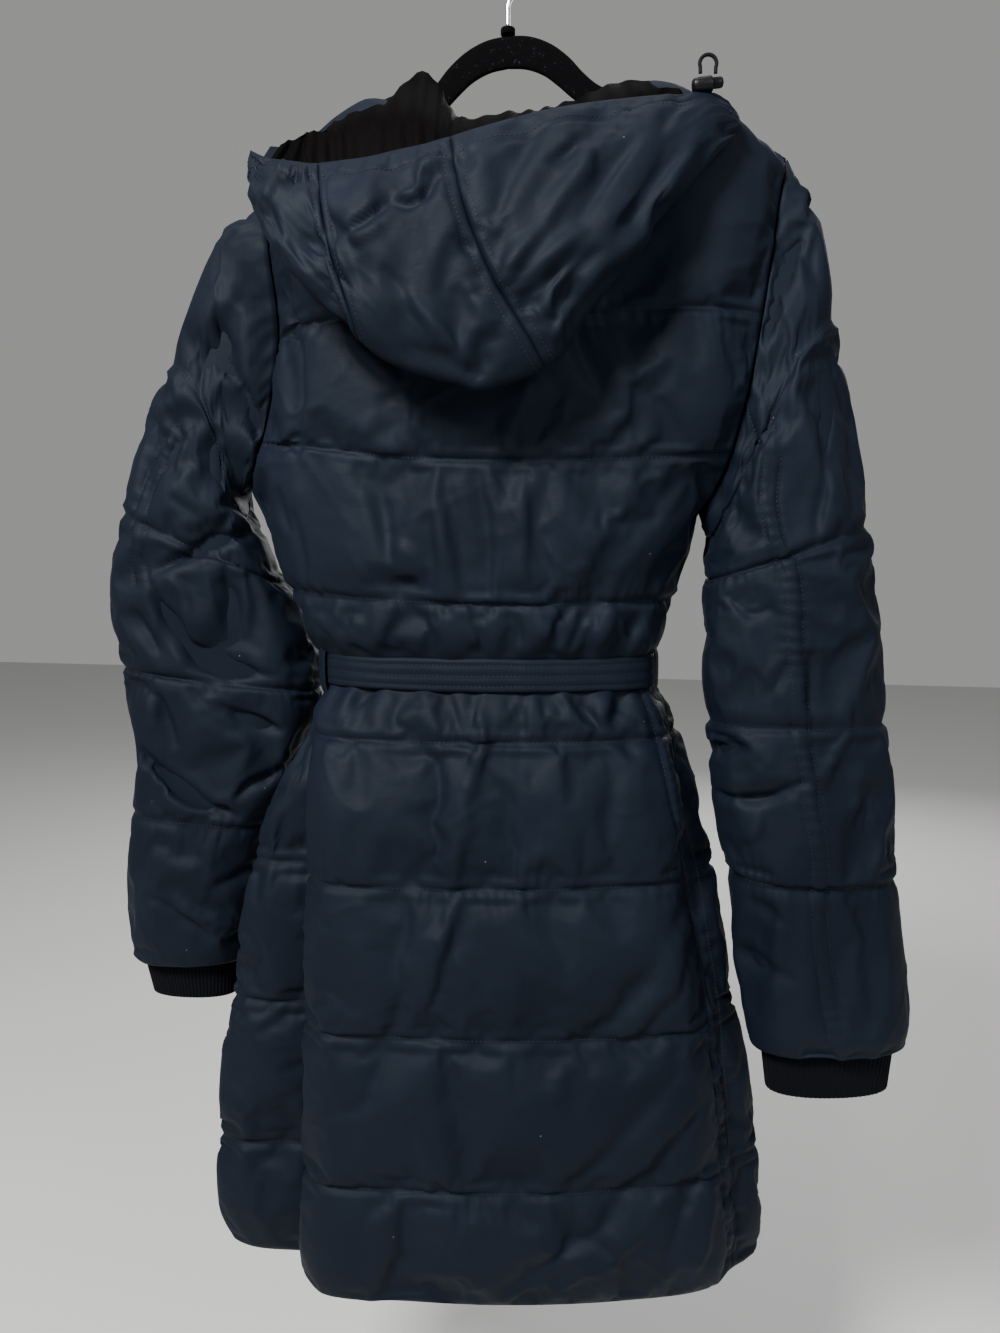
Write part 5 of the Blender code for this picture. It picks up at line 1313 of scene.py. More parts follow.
def panel_walls(panel):
    """Outer and inner points of a panel before its cloth is simulated."""
    start = CLOTH_START
    sunk, wall = panel.get("sunk", SUNK), panel.get("wall", SUNK + WALL)
    wall = wall + np.zeros(panel["height"].shape)
    panel["flip"] = panel["name"] in ("front_left", "sleeve_left")
    height = panel["height"] * start - sunk
    panel["outer"] = panel["grid"] + panel["normals"] * height[:, :, None]
    panel["inner"] = panel["grid"] - panel["normals"] * wall[:, :, None]


def ring_at(panels, z):
    """The coat's outer points and directions all round at one height, from the left seam over the
    back, the right seam and the fronts."""
    points, normals = [], []
    for name in ("back", "front_right", "front_left"):
        outer = panels[name]["fine"]
        direction = fine(panels[name]["normals"])
        row = []
        for j in range(outer.shape[1]):
            at = outer[::-1, j, 2]
            row.append(np.concatenate((read_at(z, at, outer[::-1, j]),
                                       read_at(z, at, direction[::-1, j]))))
        row = np.array(row)
        if name == "front_left":
            row = row[::-1]
        row = row if name == "back" else row[1:]
        points.append(row[:, :3])
        normals.append(row[:, 3:])
    normals = np.concatenate(normals)[:-1]
    normals[:, 2] = 0.0
    return np.concatenate(points)[:-1], unit(normals)


def even_ring(values, times):
    """Values round a ring, evened out so many times."""
    for _ in range(times):
        values = (np.roll(values, 1, 0) + 2.0 * values + np.roll(values, -1, 0)) / 4.0
    return values


# The belt's section: height over its middle as a share of its half height, and how far out.
BELT_SECTION = (
    (1.0, 0.0), (1.03, 1.2), (0.94, 2.5), (0.72, 2.9), (0.6, 2.3), (0.5, 2.9), (0.15, 3.1),
    (-0.05, 2.2), (-0.2, 3.0), (-0.55, 2.9), (-0.66, 2.2), (-0.76, 2.9), (-0.95, 2.5),
    (-1.03, 1.2), (-1.0, 0.0), (0.0, 0.0),
)
BELT_STITCHED = (0.6, -0.05, -0.66)


def belt_path(panels):
    """Middle line of the belt with its outward directions."""
    rings = [ring_at(panels, BELT_Z + dz) for dz in BELT_FITTED]
    for_normals, for_lift, for_points = BELT_EVENED
    points = rings[1][0].copy()
    normals = even_ring(rings[1][1], for_normals)
    lift = np.max([np.sum((p - points) * normals, axis=1) for p, _ in rings], axis=0)
    front = (points[:, 1] > 20) & (np.abs(points[:, 0] - CENTRE_X) < PLACKET_HALF + 8.0)
    lift = np.clip(lift, 0.0, 2.0) + BELT_LIFT + np.where(front, BELT_OVER_PLACKET, 0.0)
    points = even_ring(points + normals * even_ring(lift, for_lift)[:, None], for_points)
    points[:, 2] = BELT_Z
    return points, unit(normals)


def belt(panels, cloth):
    """The belt round the waist, folded lengthwise, with its rows of stitching pressed in. Also
    gives the lines of those stitches."""
    points, normals = belt_path(panels)
    turn = np.arange(len(points)) / len(points) * 2 * math.pi
    rows, lines = [], []
    for share, out in BELT_SECTION:
        sway = 0.6 * np.sin(5 * turn + share) + 0.35 * np.sin(13 * turn + 2.0 * share)
        row = points + normals * (out + 0.25 * sway * (out > 0))[:, None]
        row[:, 2] = BELT_Z + share * BELT_HEIGHT / 2 + 0.5 * sway
        rows.append(row)
        if share in BELT_STITCHED:
            line = row + normals * BELT_THREAD_LIFT
            lines.append(np.concatenate((line, line[:1])))
    faces = quads(len(rows), len(points), close_rows=True)
    return add_piece("belt_band", turned(np.array(rows)), faces, cloth), lines


def strap(name, points, sides, half, thick, finish):
    """A flat strap along a line: sides are its sideways directions, thick its thickness."""
    points, sides = np.asarray(points, float), unit(np.asarray(sides, float))
    line = np.gradient(points, axis=0)
    out = unit(np.cross(sides, line))
    section = [(k, 0.5 * (1.0 - 0.5 * abs(k) ** 6)) for k in np.linspace(-1.0, 1.0, STRAP_POINTS)]
    section += [(k, -h) for k, h in reversed(section)]
    rows = [[p + s * half * k + o * thick * h for k, h in section]
            for p, s, o in zip(points, sides, out)]
    return add_piece(name, turned(np.array(rows)), strip_faces(len(rows), len(section)), finish)


def belt_loops(panels, cloth):
    """Narrow straps over the belt, standing on the back near its two edges."""
    points, normals = belt_path(panels)
    pieces = []
    for side, x_at in BELT_LOOP_X.items():
        j = int(np.argmin(np.where(points[:, 1] < 5.0, np.abs(points[:, 0] - x_at), 1e9)))
        across = unit(points[(j + 1) % len(points)] - points[j - 1])
        line = [points[j] + normals[j] * out + np.array((0, 0, dz)) for dz, out in BELT_LOOP_SHAPE]
        line = through(line, (3,) * (len(line) - 1))
        pieces.append((strap(f"loop_{side}", line, [across] * len(line), BELT_LOOP_HALF,
                             BELT_LOOP_THICK, cloth), "belt_loop_" + side))
    return pieces


def belt_tie(panels, cloth):
    """The knot at the front and the belt's two hanging ends."""
    centre = box_middle(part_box("belt_knot"))
    lat = np.linspace(-math.pi / 2, math.pi / 2, 25)[1:-1]
    lon = np.linspace(0, 2 * math.pi, 48, endpoint=False)
    points = []
    for a in lat:
        for b in lon:
            d = np.array((math.cos(a) * math.cos(b), math.cos(a) * math.sin(b), math.sin(a)))
            p = np.sign(d) * np.abs(d) ** KNOT_SQUARE * np.array(KNOT_HALF)
            twist = KNOT_TWIST * math.sin((p[0] + 0.9 * p[2]) / KNOT_TWIST_STEP)
            points.append(centre + (p + d * twist * np.array((0.4, 1.0, 0.4))))
    points += [centre + np.array((0, 0, -KNOT_POLE)), centre + np.array((0, 0, KNOT_POLE))]
    bottom, top = len(points) - 2, len(points) - 1
    cols = len(lon)
    last = (len(lat) - 1) * cols
    faces = [(a, d, c, b) for a, b, c, d in quads(len(lat), cols)]
    faces += [(bottom, (j + 1) % cols, j) for j in range(cols)]
    faces += [(top, last + j, last + (j + 1) % cols) for j in range(cols)]
    pieces = [(add_piece("tie_knot", turned(points), faces, cloth), "belt_knot")]
    fronts = np.concatenate([panels["front_" + side]["fine"].reshape(-1, 3) for side in OUTWARD])
    top_z = BELT_Z - BELT_END_DROP
    front_y = centre[1] - BELT_END_BACK
    for side, (x0, x1, end_z) in BELT_ENDS.items():
        line = []
        for t in np.linspace(0.0, 1.0, BELT_END_POINTS):
            z = top_z + (end_z - top_z) * t
            x = x0 + (x1 - x0) * t**0.8
            y = nearest_y(fronts, x, z, 3 * BELT_END_HALF, np.max) + 6.0
            y = max(y, front_y + BELT_THICK - 2 * BELT_END_HALF * t)
            line.append((x, y + BELT_THICK / 2 + 1.2 * math.sin(9 * t + x0), z))
        line = np.array(line)
        line[:, 1] = np.convolve(np.pad(line[:, 1], 3, mode="edge"), np.ones(7) / 7, mode="valid")
        sides = [(1.0, 0.10 * math.sin(6 * t + x0), 0.0)
                 for t in np.linspace(0.0, 1.0, BELT_END_POINTS)]
        pieces.append((strap("tie_end_" + side, line, sides, BELT_END_HALF, BELT_THICK, cloth),
                       "belt_end_" + side))
    return pieces


def placket(panels, cloth):
    """The flap over the middle of the fronts."""
    base, facing = [], []
    for side, order in (("left", slice(-1 - PLACKET_CELLS, None)),
                        ("right", slice(-2, -2 - PLACKET_CELLS, -1))):
        base.append(panels["front_" + side]["outer"][:, order])
        facing.append(panels["front_" + side]["normals"][:, order])
    base, facing = np.concatenate(base, axis=1), np.concatenate(facing, axis=1)
    share = 1.0 - 0.35 * np.abs(np.linspace(-1, 1, base.shape[1])) ** 4
    inner = base + facing * PLACKET_LIFT
    outer = inner + facing * (PLACKET_THICK * share)[None, :, None]
    return quilted_piece("placket_flap", fine(outer), inner, cloth)


def cuff(side, knit):
    """A ribbed tube that starts just inside the sleeve's end and is folded at its own end."""
    end = dict(zip(SLEEVE_COLUMNS, CUFF_ENDS[side]))
    start = dict(zip(SLEEVE_COLUMNS, SLEEVES[side][-1]))
    inset = SUNK + WALL + CUFF_RIB_HEIGHT + 3 * SEAM_GAP
    start["outer_x"] -= OUTWARD[side] * inset
    start["inner_x"] += OUTWARD[side] * inset
    start["half_depth"] -= inset + 1.0
    for n in ("outer_z", "inner_z"):
        start[n] += CUFF_INSIDE
    cols = CUFF_RIBS * CUFF_RIB_POINTS
    turn = np.arange(cols) * 2 * math.pi / cols
    steps = np.linspace(0.0, 1.0, CUFF_ROWS)
    rings = [oval({n: start[n] + (end[n] - start[n]) * t for n in SLEEVE_COLUMNS}, turn)
             for t in steps]
    rings = np.array([evenly(np.concatenate((r, r[:1])), cols + 1)[:-1] for r in rings])
    normals = grid_normals(rings, closed=True)
    if np.sum(normals * (rings - rings.mean(axis=1, keepdims=True))) < 0:
        normals = -normals
    rib = np.clip(1.4 * np.cos(turn * CUFF_RIBS), -1.0, 1.0) * 0.5 + 0.5
    wobble = 0.5 * np.sin(3 * turn)[None, :] * steps[:, None] ** 2
    outer = rings + normals * (CUFF_RIB_HEIGHT * rib[None, :] + wobble)[:, :, None]
    inner = rings - normals * (CUFF_WALL - wobble)[:, :, None]
    last, way, r = rings[-1], unit(rings[-1] - rings[-2]), CUFF_WALL / 2
    fold = []
    for a in np.linspace(0, math.pi, 7)[1:-1]:
        out = r * math.cos(a) - r + CUFF_RIB_HEIGHT * rib * max(math.cos(a), 0)
        fold.append(last + normals[-1] * out[:, None] + way * r * math.sin(a))
    grid = np.concatenate((outer, np.array(fold), inner[::-1]))
    across, down = along(np.concatenate((last, last[:1]))), along(rings[:, 0])
    rows = np.concatenate((down, np.full(len(fold), down[-1]), down[::-1]))
    uv = []
    for i in range(len(grid)):
        n = (i + 1) % len(grid)
        for j in range(cols):
            uv += [(across[j], -rows[i]), (across[j], -rows[n]), (across[j + 1], -rows[n]),
                   (across[j + 1], -rows[i])]
    faces = quads(len(grid), cols, close_rows=True)
    piece = add_piece("knit_cuff_" + side, turned(grid), faces, knit, np.array(uv) * MM)
    return piece, (across[-1] * MM, down[-1] * MM)


def lining(grid, normals, half, satin):
    """The satin inside of the hood's far side, gathered up and down."""
    first = int(HOOD_DOWN * LINING_DOWN)
    start, end = (int(share * HOOD_ACROSS) for share in LINING_ACROSS)
    part, facing = grid[first:, start:end], normals[first:, start:end]
    part, facing = fine(part), fine(facing)
    depth = np.interp(np.linspace(0, 1, part.shape[0]), (0, 1), (half[first], half[-1]))[:, None]
    across = mean_along(part)[None, :]
    down = mean_along([part[:, j] for j in range(0, part.shape[1], 8)])[:, None]
    drift = across + 3.0 * wander(down, 40.0, 5)
    phase = drift / LINING_PLEAT + 0.5 * wander(drift, 34.0, 8)
    waves = 0.5 + 0.5 * np.cos(2 * math.pi * phase)
    waves = waves * (0.45 + 0.55 * np.clip(wander(drift, 30.0, 10) + 0.5, 0, 1))
    under = part - facing * (depth + 2 * SEAM_GAP)[:, :, None]
    over = depth + 2 * SEAM_GAP + LINING_THICK + LINING_PLEAT_HEIGHT * waves
    over = part - facing * over[:, :, None]
    return quilted_piece("satin_lining", over, under[::2, ::2], satin)


# The node tree of the stitches: its inputs, its nodes, and its links as node, output, node, input.
STITCH_INPUTS = (("Lines", "Geometry"), ("Pitch", "Float"), ("Length", "Float"),
                 ("Thread", "Float"), ("Seed", "Int"), ("Finish", "Material"))
STITCH_NODES = {
    "given": "NodeGroupInput", "made": "NodeGroupOutput", "lines": "GeometryNodeMeshToCurve",
    "spaced": "GeometryNodeResampleCurve", "bead": "GeometryNodeMeshIcoSphere",
    "heading": "GeometryNodeInputTangent", "turn": "FunctionNodeAlignRotationToVector",
    "vary": "FunctionNodeRandomValue", "length": "ShaderNodeMath", "size": "ShaderNodeCombineXYZ",
    "each": "GeometryNodeInstanceOnPoints", "real": "GeometryNodeRealizeInstances",
    "finish": "GeometryNodeSetMaterial",
}
STITCH_LINKS = (
    ("given", "Lines", "lines", "Mesh"), ("lines", "Curve", "spaced", "Curve"),
    ("given", "Pitch", "spaced", "Length"), ("spaced", "Curve", "each", "Points"),
    ("bead", "Mesh", "each", "Instance"), ("heading", "Tangent", "turn", "Vector"),
    ("turn", "Rotation", "each", "Rotation"), ("given", "Seed", "vary", "Seed"),
    ("given", "Length", "length", 0), ("vary", 1, "length", 1), ("length", "Value", "size", "X"),
    ("given", "Thread", "size", "Y"), ("given", "Thread", "size", "Z"),
    ("size", "Vector", "each", "Scale"), ("each", "Instances", "real", "Geometry"),
    ("real", "Geometry", "finish", "Geometry"), ("given", "Finish", "finish", "Material"),
    ("finish", "Geometry", "made", "Stitches"),
)


def stitch_rows():
    """A node tree that sets stitches of thread along each line of a mesh of edges, and the
    sockets of its inputs."""
    tree = bpy.data.node_groups.new("rows_of_stitches", "GeometryNodeTree")
    sockets = {name: tree.interface.new_socket(name=name, in_out="INPUT",
                                               socket_type="NodeSocket" + kind)
               for name, kind in STITCH_INPUTS}
    tree.interface.new_socket(name="Stitches", in_out="OUTPUT", socket_type="NodeSocketGeometry")
    nodes = {name: tree.nodes.new(kind) for name, kind in STITCH_NODES.items()}
    nodes["spaced"].mode = "LENGTH"
    nodes["bead"].inputs["Radius"].default_value = 0.5
    nodes["bead"].inputs["Subdivisions"].default_value = 1
    nodes["turn"].axis = "X"
    nodes["vary"].data_type = "FLOAT"
    for socket, value in zip(nodes["vary"].inputs[2:4], STITCH_VARIES):
        socket.default_value = value
    nodes["length"].operation = "MULTIPLY"
    for source, out, target, into in STITCH_LINKS:
        tree.links.new(nodes[source].outputs[out], nodes[target].inputs[into])
    return tree, sockets


def stitching(name, lines, thread, seed):
    """Rows of stitches along lines of points in the coat's frame, as one mesh."""
    points, edges = [], []
    for line in lines:
        first = len(points)
        points += turned(line).tolist()
        edges += [(k, k + 1) for k in range(first, len(points) - 1)]
    mesh = bpy.data.meshes.new(name + "_lines")
    mesh.from_pydata(points, edges, [])
    holder = bpy.data.objects.new(name + "_lines", mesh)
    bpy.context.scene.collection.objects.link(holder)
    tree, sockets = stitch_rows()
    rows = holder.modifiers.new("stitches", "NODES")
    rows.node_group = tree
    pitch, length, thick = STITCH
    for key, value in (("Pitch", pitch * MM), ("Length", length * MM), ("Thread", thick * MM),
                       ("Seed", seed), ("Finish", thread)):
        rows[sockets[key].identifier] = value
    graph = bpy.context.evaluated_depsgraph_get()
    sewn = bpy.data.meshes.new_from_object(holder.evaluated_get(graph))
    bpy.data.objects.remove(holder)
    sewn.name = name
    sewn.shade_smooth()
    piece = bpy.data.objects.new(name, sewn)
    bpy.context.scene.collection.objects.link(piece)
    return piece


def resting(panel, places, lift):
    """The panel's outer points nearest to places over x and z on the side that faces the back."""
    points, out = panel["fine"].reshape(-1, 3), panel["out"].reshape(-1, 3)
    seen = out[:, 1] < -0.15
    points, out = points[seen], out[seen]
    line = []
    for x, z in places:
        away = np.hypot(points[:, 0] - x, points[:, 2] - z)
        near = np.argsort(away)[:4]
        weight = 1.0 / (away[near] + 0.2)
        weight = weight / weight.sum()
        at = (points[near] * weight[:, None]).sum(axis=0) + unit(out[near].mean(axis=0)) * lift
        line.append((x, at[1], z))
    return np.array(line)


def beside_edge(rows, ways, distance, from_end=False):
    """Points just above rows of points at a distance from their start or end. ways are the
    directions out of the cloth."""
    line = []
    for row, way in zip(rows, ways):
        steps = along(row)
        at = steps[-1] - distance if from_end else distance
        line.append(read_at(at, steps, row) + EDGE_THREAD_LIFT * read_at(at, steps, way))
    return np.array(line)


def seam_lines(panels):
    """Lines of the stitches: along the quilting, and beside seams and the hood's rim."""
    quilting, seams = [], []
    for name, panel in panels.items():
        cloth, out = panel["fine"], panel["out"]
        for line in panel["lines"]:
            row = cloth[2 * line] + out[2 * line] * QUILT_THREAD_LIFT
            quilting.append(np.concatenate((row, row[:1])) if panel["closed"] else row[2:-2])
        if name in STRIPS:
            route = np.asarray(STRIPS[name], float)
            route = through(route, (4,) * (len(route) - 1))
            step = unit(np.gradient(route, axis=0))
            side = np.stack((step[:, 1], -step[:, 0]), axis=1) * STRIP_HALF[name]
            seams += [resting(panel, route + way * side, STRIP_THREAD_LIFT) for way in (-1.0, 1.0)]
        if name.startswith("hood"):
            seams += [beside_edge(cloth[2:-40], out[2:-40], HOOD_STITCH, end)
                      for end in (False, True)
                      if (name, end) not in (("hood_left", False), ("hood_right", True))]
            seams.append(beside_edge(cloth.swapaxes(0, 1)[2:-2], out.swapaxes(0, 1)[2:-2],
                                     RIM_STITCH))
    return quilting, seams


def wire(name, points, radius, sides, finish):
    """A round wire or cord along points in metres."""
    points = np.asarray(points, float)
    line = unit(np.gradient(points, axis=0))
    side = unit(np.cross(line[0], (0.31, 0.87, 0.11)))
    rows = []
    for k, (p, d) in enumerate(zip(points, line)):
        side = unit(side - d * np.dot(side, d))
        other = np.cross(d, side)
        thick = radius(k / (len(points) - 1)) if callable(radius) else radius
        rows.append([p + (side * math.cos(a) + other * math.sin(a)) * thick
                     for a in np.linspace(0, 2 * math.pi, sides, endpoint=False)])
    return add_piece(name, np.array(rows), strip_faces(len(rows), sides), finish)


def turned_shape(name, profile, centre, tilt, sides, finish):
    """A round part from a profile of (length, radius) pairs, laid along its tilted axis."""
    around = np.linspace(0, 2 * math.pi, sides, endpoint=False)
    points = np.array([(radius * math.cos(a), radius * math.sin(a), length)
                       for length, radius in profile for a in around])
    c, s = math.cos(tilt), math.sin(tilt)
    x, z = points[:, 0].copy(), points[:, 2].copy()
    points[:, 0], points[:, 2] = c * x + s * z, -s * x + c * z
    return add_piece(name, turned(points + centre), strip_faces(len(profile), sides), finish)


def hood_trim(plastic, elastic):
    """The spring cord lock at the hood's right corner, with its elastic loop."""
    lock = box_middle(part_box("cord_lock")) - np.array((0.0, 0.0, LOCK_LOWER))
    r, h = LOCK_RADIUS, LOCK_LENGTH / 2
    profile = (
        (-h, 0.2), (-h, r - 1.6), (-h + 0.6, r - 0.8), (-h + 1.6, r - 0.3), (-h + 4.0, r),
        (1.5, r), (2.4, r - 0.1), (3.0, r - 0.6), (3.2, r - 1.4), (h - 1.6, r - 1.4),
        (h - 0.6, r - 1.8), (h, r - 2.6), (h, 0.2),
    )
    barrel = turned_shape("lock_barrel", profile, lock, LOCK_TILT, 40, plastic)
    foot = lock[2] + LOCK_RADIUS + 2 * SEAM_GAP + ELASTIC_RADIUS
    route = [(lock[0] - LOCK_RADIUS, lock[1], foot)]
    for turn in np.linspace(1.12 * math.pi, -0.12 * math.pi, 25):
        route.append((lock[0] + ELASTIC_HALF * math.cos(turn), lock[1],
                      foot + ELASTIC_RISE + ELASTIC_HALF * math.sin(turn)))
    route.append((lock[0] + LOCK_RADIUS, lock[1], foot))
    route = through(route, (4,) * (len(route) - 1))
    loop = wire("elastic_loop", turned(route), ELASTIC_RADIUS * MM, 12, elastic)
    return barrel, loop


def hanger(velvet):
    """The flocked hanger: neck arch, sloping arms and lower bar, one closed loop."""
    half = np.array(HANGER_ROWS, float)
    whole = np.concatenate((half, half[-2:0:-1] * np.array((-1, 1, -1, 1))))
    line = through(np.concatenate((whole, whole[:1])), (6,) * len(whole))[:-1]
    section = []
    for a in np.arange(20) * 2 * math.pi / 20:
        u, v = math.cos(a), math.sin(a)
        section.append((0.5 - 0.5 * np.sign(u) * abs(u) ** 0.5,
                        np.sign(v) * abs(v) ** 0.45 * (HANGER_THICK / 2)))
    rows = np.array([[(ox + (ix - ox) * u, v, oz + (iz - oz) * u) for ox, oz, ix, iz in line]
                     for u, v in section])
    faces = quads(len(section), len(line), close_rows=True)
    return add_piece("velvet_hanger", rows * MM, faces, velvet)


def hook(chrome):
    """The wire hook: a straight stem, a bend and a round top whose inside bears at the origin."""
    radius = HOOK_INNER_RADIUS + WIRE_RADIUS
    points = [(x, 0.0, z) for x, z in HOOK_STEM]
    for turn in np.linspace(HOOK_START, HOOK_END, 19):
        points.append((radius * math.cos(turn), 0.0, -HOOK_INNER_RADIUS + radius * math.sin(turn)))
    line = through(points, (4,) * (len(points) - 1))

    def thick(t):
        past = max(t - HOOK_TIP, 0.0) / 0.016
        return WIRE_RADIUS * MM * math.sqrt(max(1 - past**2, 0.02))

    return wire("hook_wire", line * MM, thick, 20, chrome)


class Nodes:
    """A material whose nodes are laid out one by one."""

    def __init__(self, name):
        self.made = bpy.data.materials.new(name)
        self.made.use_nodes = True
        self.tree = self.made.node_tree
        self.shader = self.tree.nodes["Principled BSDF"]

    def put(self, node, **inputs):
        """Sets a node's inputs, each to a value or from another node's output."""
        for name, value in inputs.items():
            socket = node.inputs[name.replace("_", " ")]
            if isinstance(value, bpy.types.NodeSocket):
                self.tree.links.new(value, socket)
            else:
                socket.default_value = value
        return node

    def add(self, kind, **inputs):
        return self.put(self.tree.nodes.new(kind), **inputs)

    def place(self, kind):
        """Coordinates: "Object", or "UV" for the cloth's own."""
        return self.add("ShaderNodeTexCoord").outputs[kind]

    def noise(self, kind, scale, detail, rough=0.5):
        """Noise over coordinates, with one scale or one for each axis."""
        vector = self.place(kind)
        if isinstance(scale, tuple):
            vector = self.add("ShaderNodeMapping", Vector=vector, Scale=scale).outputs["Vector"]
            scale = 1.0
        return self.add("ShaderNodeTexNoise", Vector=vector, Scale=scale, Detail=detail,
                        Roughness=rough).outputs["Fac"]

    def ramp(self, source, *stops):
        """Two colours or greys, each with its place on the source."""
        node = self.add("ShaderNodeValToRGB", Fac=source)
        for element, (at, shade) in zip(node.color_ramp.elements, stops):
            element.position = at
            element.color = (*(shade if isinstance(shade, tuple) else (shade,) * 3), 1.0)
        return node.outputs["Color"]

    def bump(self, height, distance, strength, **under):
        return self.add("ShaderNodeBump", Height=height, Distance=distance, Strength=strength,
                        **under).outputs["Normal"]


def new_finish(name, grain=None, colour=None, rough=None, bump=None, tint=None, **inputs):
    """A material whose colour, roughness and bump follow a fine grain, the colour another one if
    tint is given. Grains are arguments of Nodes.noise, colour and rough of Nodes.ramp, bump of
    Nodes.bump."""
    nodes = Nodes(name)
    source = nodes.noise(*grain) if grain else None
    if colour:
        inputs["Base_Color"] = nodes.ramp(nodes.noise(*tint) if tint else source, *colour)
    if rough:
        inputs["Roughness"] = nodes.ramp(source, *rough)
    if bump:
        inputs["Normal"] = nodes.bump(source, *bump)
    nodes.put(nodes.shader, **inputs)
    return nodes.made


def coat_cloth():
    """Dark blue-black polyester with a satin face and a few specks of lint."""
    n = Nodes("shell_satin_cloth")
    shade = n.ramp(n.noise("Object", 9.0, 3.0), (0.3, (0.0020, 0.0037, 0.0082)),
                   (0.7, (0.0036, 0.0059, 0.0116)))
    lint = n.add("ShaderNodeTexVoronoi", Scale=26.0, Vector=n.place("Object"))
    speck = n.ramp(lint.outputs["Distance"], (0.0, 1.0), (0.018, 0.0))
    mix = n.add("ShaderNodeMix")
    mix.data_type = "RGBA"
    n.put(mix, Factor=speck, A=shade, B=(0.16, 0.16, 0.17, 1.0))
    crinkle = n.bump(n.noise("Object", 130.0, 3.0), 0.0006, 0.5)
    weave = n.noise("UV", (1400.0, 1400.0, 1.0), 1.0)
    slubs = n.noise("UV", (60.0, 900.0, 1.0), 3.0)
    n.put(n.shader, Base_Color=mix.outputs["Result"],
          Roughness=n.ramp(slubs, (0.2, 0.60), (0.8, 0.70)),
          Normal=n.bump(weave, 0.00012, 0.35, Normal=crinkle),
          IOR=1.21, Specular_IOR_Level=0.5, Specular_Tint=(0.84, 0.92, 1.0, 1.0),
          Sheen_Weight=0.006, Sheen_Roughness=0.5, Sheen_Tint=(0.35, 0.50, 0.80, 1.0))
    return n.made


def studio():
    """A plain pale floor, soft lights and the camera."""
    scene = bpy.context.scene
    mesh = bpy.data.meshes.new("studio_floor")
    mesh.from_pydata([(x * FLOOR_HALF, y * FLOOR_HALF, FLOOR_Z)
                      for x, y in ((-1, -1), (1, -1), (1, 1), (-1, 1))], [], [(0, 1, 2, 3)])
    mesh.materials.append(
        new_finish("pale_floor", Base_Color=(0.52, 0.52, 0.51, 1.0), Roughness=0.7))
    floor = bpy.data.objects.new("studio_floor", mesh)
    scene.collection.objects.link(floor)
    scene.world = bpy.data.worlds.new("pale_room")
    scene.world.use_nodes = True
    background = scene.world.node_tree.nodes["Background"]
    background.inputs["Color"].default_value = (0.78, 0.78, 0.77, 1.0)
    background.inputs["Strength"].default_value = 0.40
    for name, place, size, power, colour in LIGHTS:
        data = bpy.data.lights.new(name, "AREA")
        data.shape = "DISK"
        data.size, data.energy, data.color = size, power, colour
        lamp = bpy.data.objects.new(name, data)
        lamp.location = place
        aim = Vector(np.array(LIGHT_AIM) - np.array(place))
        lamp.rotation_euler = aim.to_track_quat("-Z", "Y").to_euler()
        scene.collection.objects.link(lamp)
    data = bpy.data.cameras.new("camera")
    data.sensor_fit = "VERTICAL"
    data.sensor_height = 36.0
    data.lens = LENS
    data.clip_start = 0.02
    camera = bpy.data.objects.new("camera", data)
    camera.location = EYE
    camera.rotation_euler = (math.radians(90.0 - EYE_DOWN), 0.0, COAT_TURN)
    scene.collection.objects.link(camera)
    scene.camera = camera


def settle(piece, node):
    """Sets a piece on the one body, in place of a solid."""
    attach(piece, "root")
    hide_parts(node)


studio()
shell = coat_cloth()
satin = new_finish(
    "hood_lining_satin", ("UV", (1500.0, 90.0, 1.0), 2.0),
    colour=((0.3, (0.0007, 0.0006, 0.0006)), (0.7, (0.0018, 0.0014, 0.0014))),
    rough=((0.2, 0.56), (0.8, 0.66)), bump=(0.0001, 0.4), Specular_IOR_Level=0.015)
knit = new_finish(
    "rib_knit_yarn", ("UV", (700.0, 1100.0, 1.0), 2.0),
    colour=((0.3, (0.0010, 0.0011, 0.002)), (0.75, (0.0034, 0.0036, 0.006))),
    bump=(0.0005, 0.7), Roughness=0.9, Specular_IOR_Level=0.05, Sheen_Weight=0.012,
    Sheen_Roughness=0.5)
velvet = new_finish(
    "black_velvet_flock", ("Object", 1600.0, 2.0), tint=("Object", 240.0, 4.0, 0.7),
    colour=((0.62, (0.0009, 0.0009, 0.0012)), (0.86, (0.04, 0.04, 0.05))), bump=(0.0004, 0.6),
    Roughness=0.95, Specular_IOR_Level=0.05, Sheen_Weight=0.012, Sheen_Roughness=0.4)
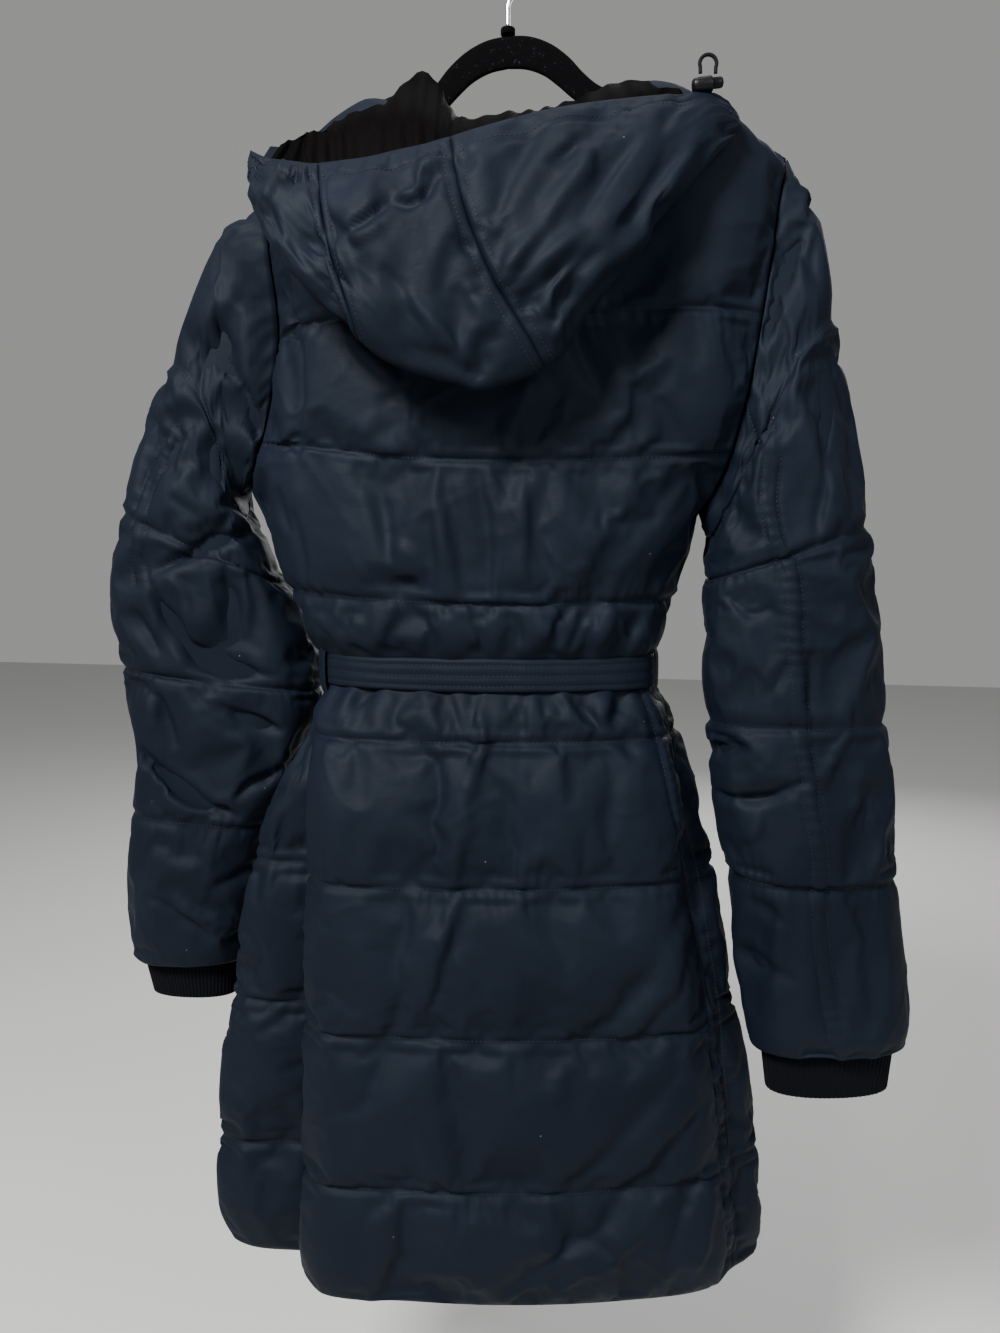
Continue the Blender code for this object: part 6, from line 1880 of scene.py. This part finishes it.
chrome = new_finish(
    "hook_chrome", ("Object", (300.0, 300.0, 40.0), 3.0), rough=((0.3, 0.10), (0.8, 0.24)),
    Metallic=1.0, Base_Color=(0.78, 0.78, 0.80, 1.0))
plastic = new_finish(
    "cord_lock_plastic", ("Object", 900.0, 2.0), rough=((0.3, 0.34), (0.7, 0.46)),
    bump=(0.00005, 0.3), Base_Color=(0.004, 0.004, 0.005, 1.0), Specular_IOR_Level=0.16)
elastic = new_finish(
    "elastic_braid", ("Object", 1500.0, 1.0),
    colour=((0.35, (0.002, 0.002, 0.003)), (0.7, (0.007, 0.007, 0.009))),
    bump=(0.0003, 0.7), Roughness=0.7, Specular_IOR_Level=0.1)
thread = new_finish(
    "sewing_thread", ("Object", 2500.0, 1.0),
    colour=((0.3, (0.006, 0.008, 0.012)), (0.7, (0.013, 0.016, 0.023))),
    Roughness=0.55, Specular_IOR_Level=0.3)

panels = body()
for arm in ("left", "right"):
    panels["sleeve_" + arm] = sleeve(arm, panels)
for panel in panels.values():
    panel_walls(panel)
hood_panels, hood_grid, hood_normals, hood_half = hood(panels["back"]["outer"].reshape(-1, 3))
for panel in hood_panels.values():
    panel_walls(panel)
panels.update(hood_panels)
swell(list(panels.values()))
for number, (name, panel) in enumerate(panels.items()):
    piece = finish_panel(panel, shell, 1000 * (number + 1))
    settle(piece, name)

band, belt_rows = belt(panels, shell)
settle(band, "belt")
quilting, seams = seam_lines(panels)
for name, lines, seed in (("quilting_stitches", quilting, 11), ("seam_stitches", seams, 12),
                          ("belt_stitches", belt_rows, 13)):
    piece = stitching(name, lines, thread, seed)
    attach(piece, "root")
for piece, node in belt_loops(panels, shell) + belt_tie(panels, shell):
    settle(piece, node)
flap = placket(panels, shell)
settle(flap, "front_placket")
for arm in ("left", "right"):
    tube, flat = cuff(arm, knit)
    settle(tube, "cuff_" + arm)
inside = lining(hood_grid, hood_normals, hood_half, satin)
settle(inside, "hood_lining")
barrel, loop = hood_trim(plastic, elastic)
settle(barrel, "cord_lock")
settle(loop, "hood_elastic")
settle(hanger(velvet), "hanger")
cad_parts["hanger_nub"].material_slots[0].material = velvet
settle(hook(chrome), "hook")
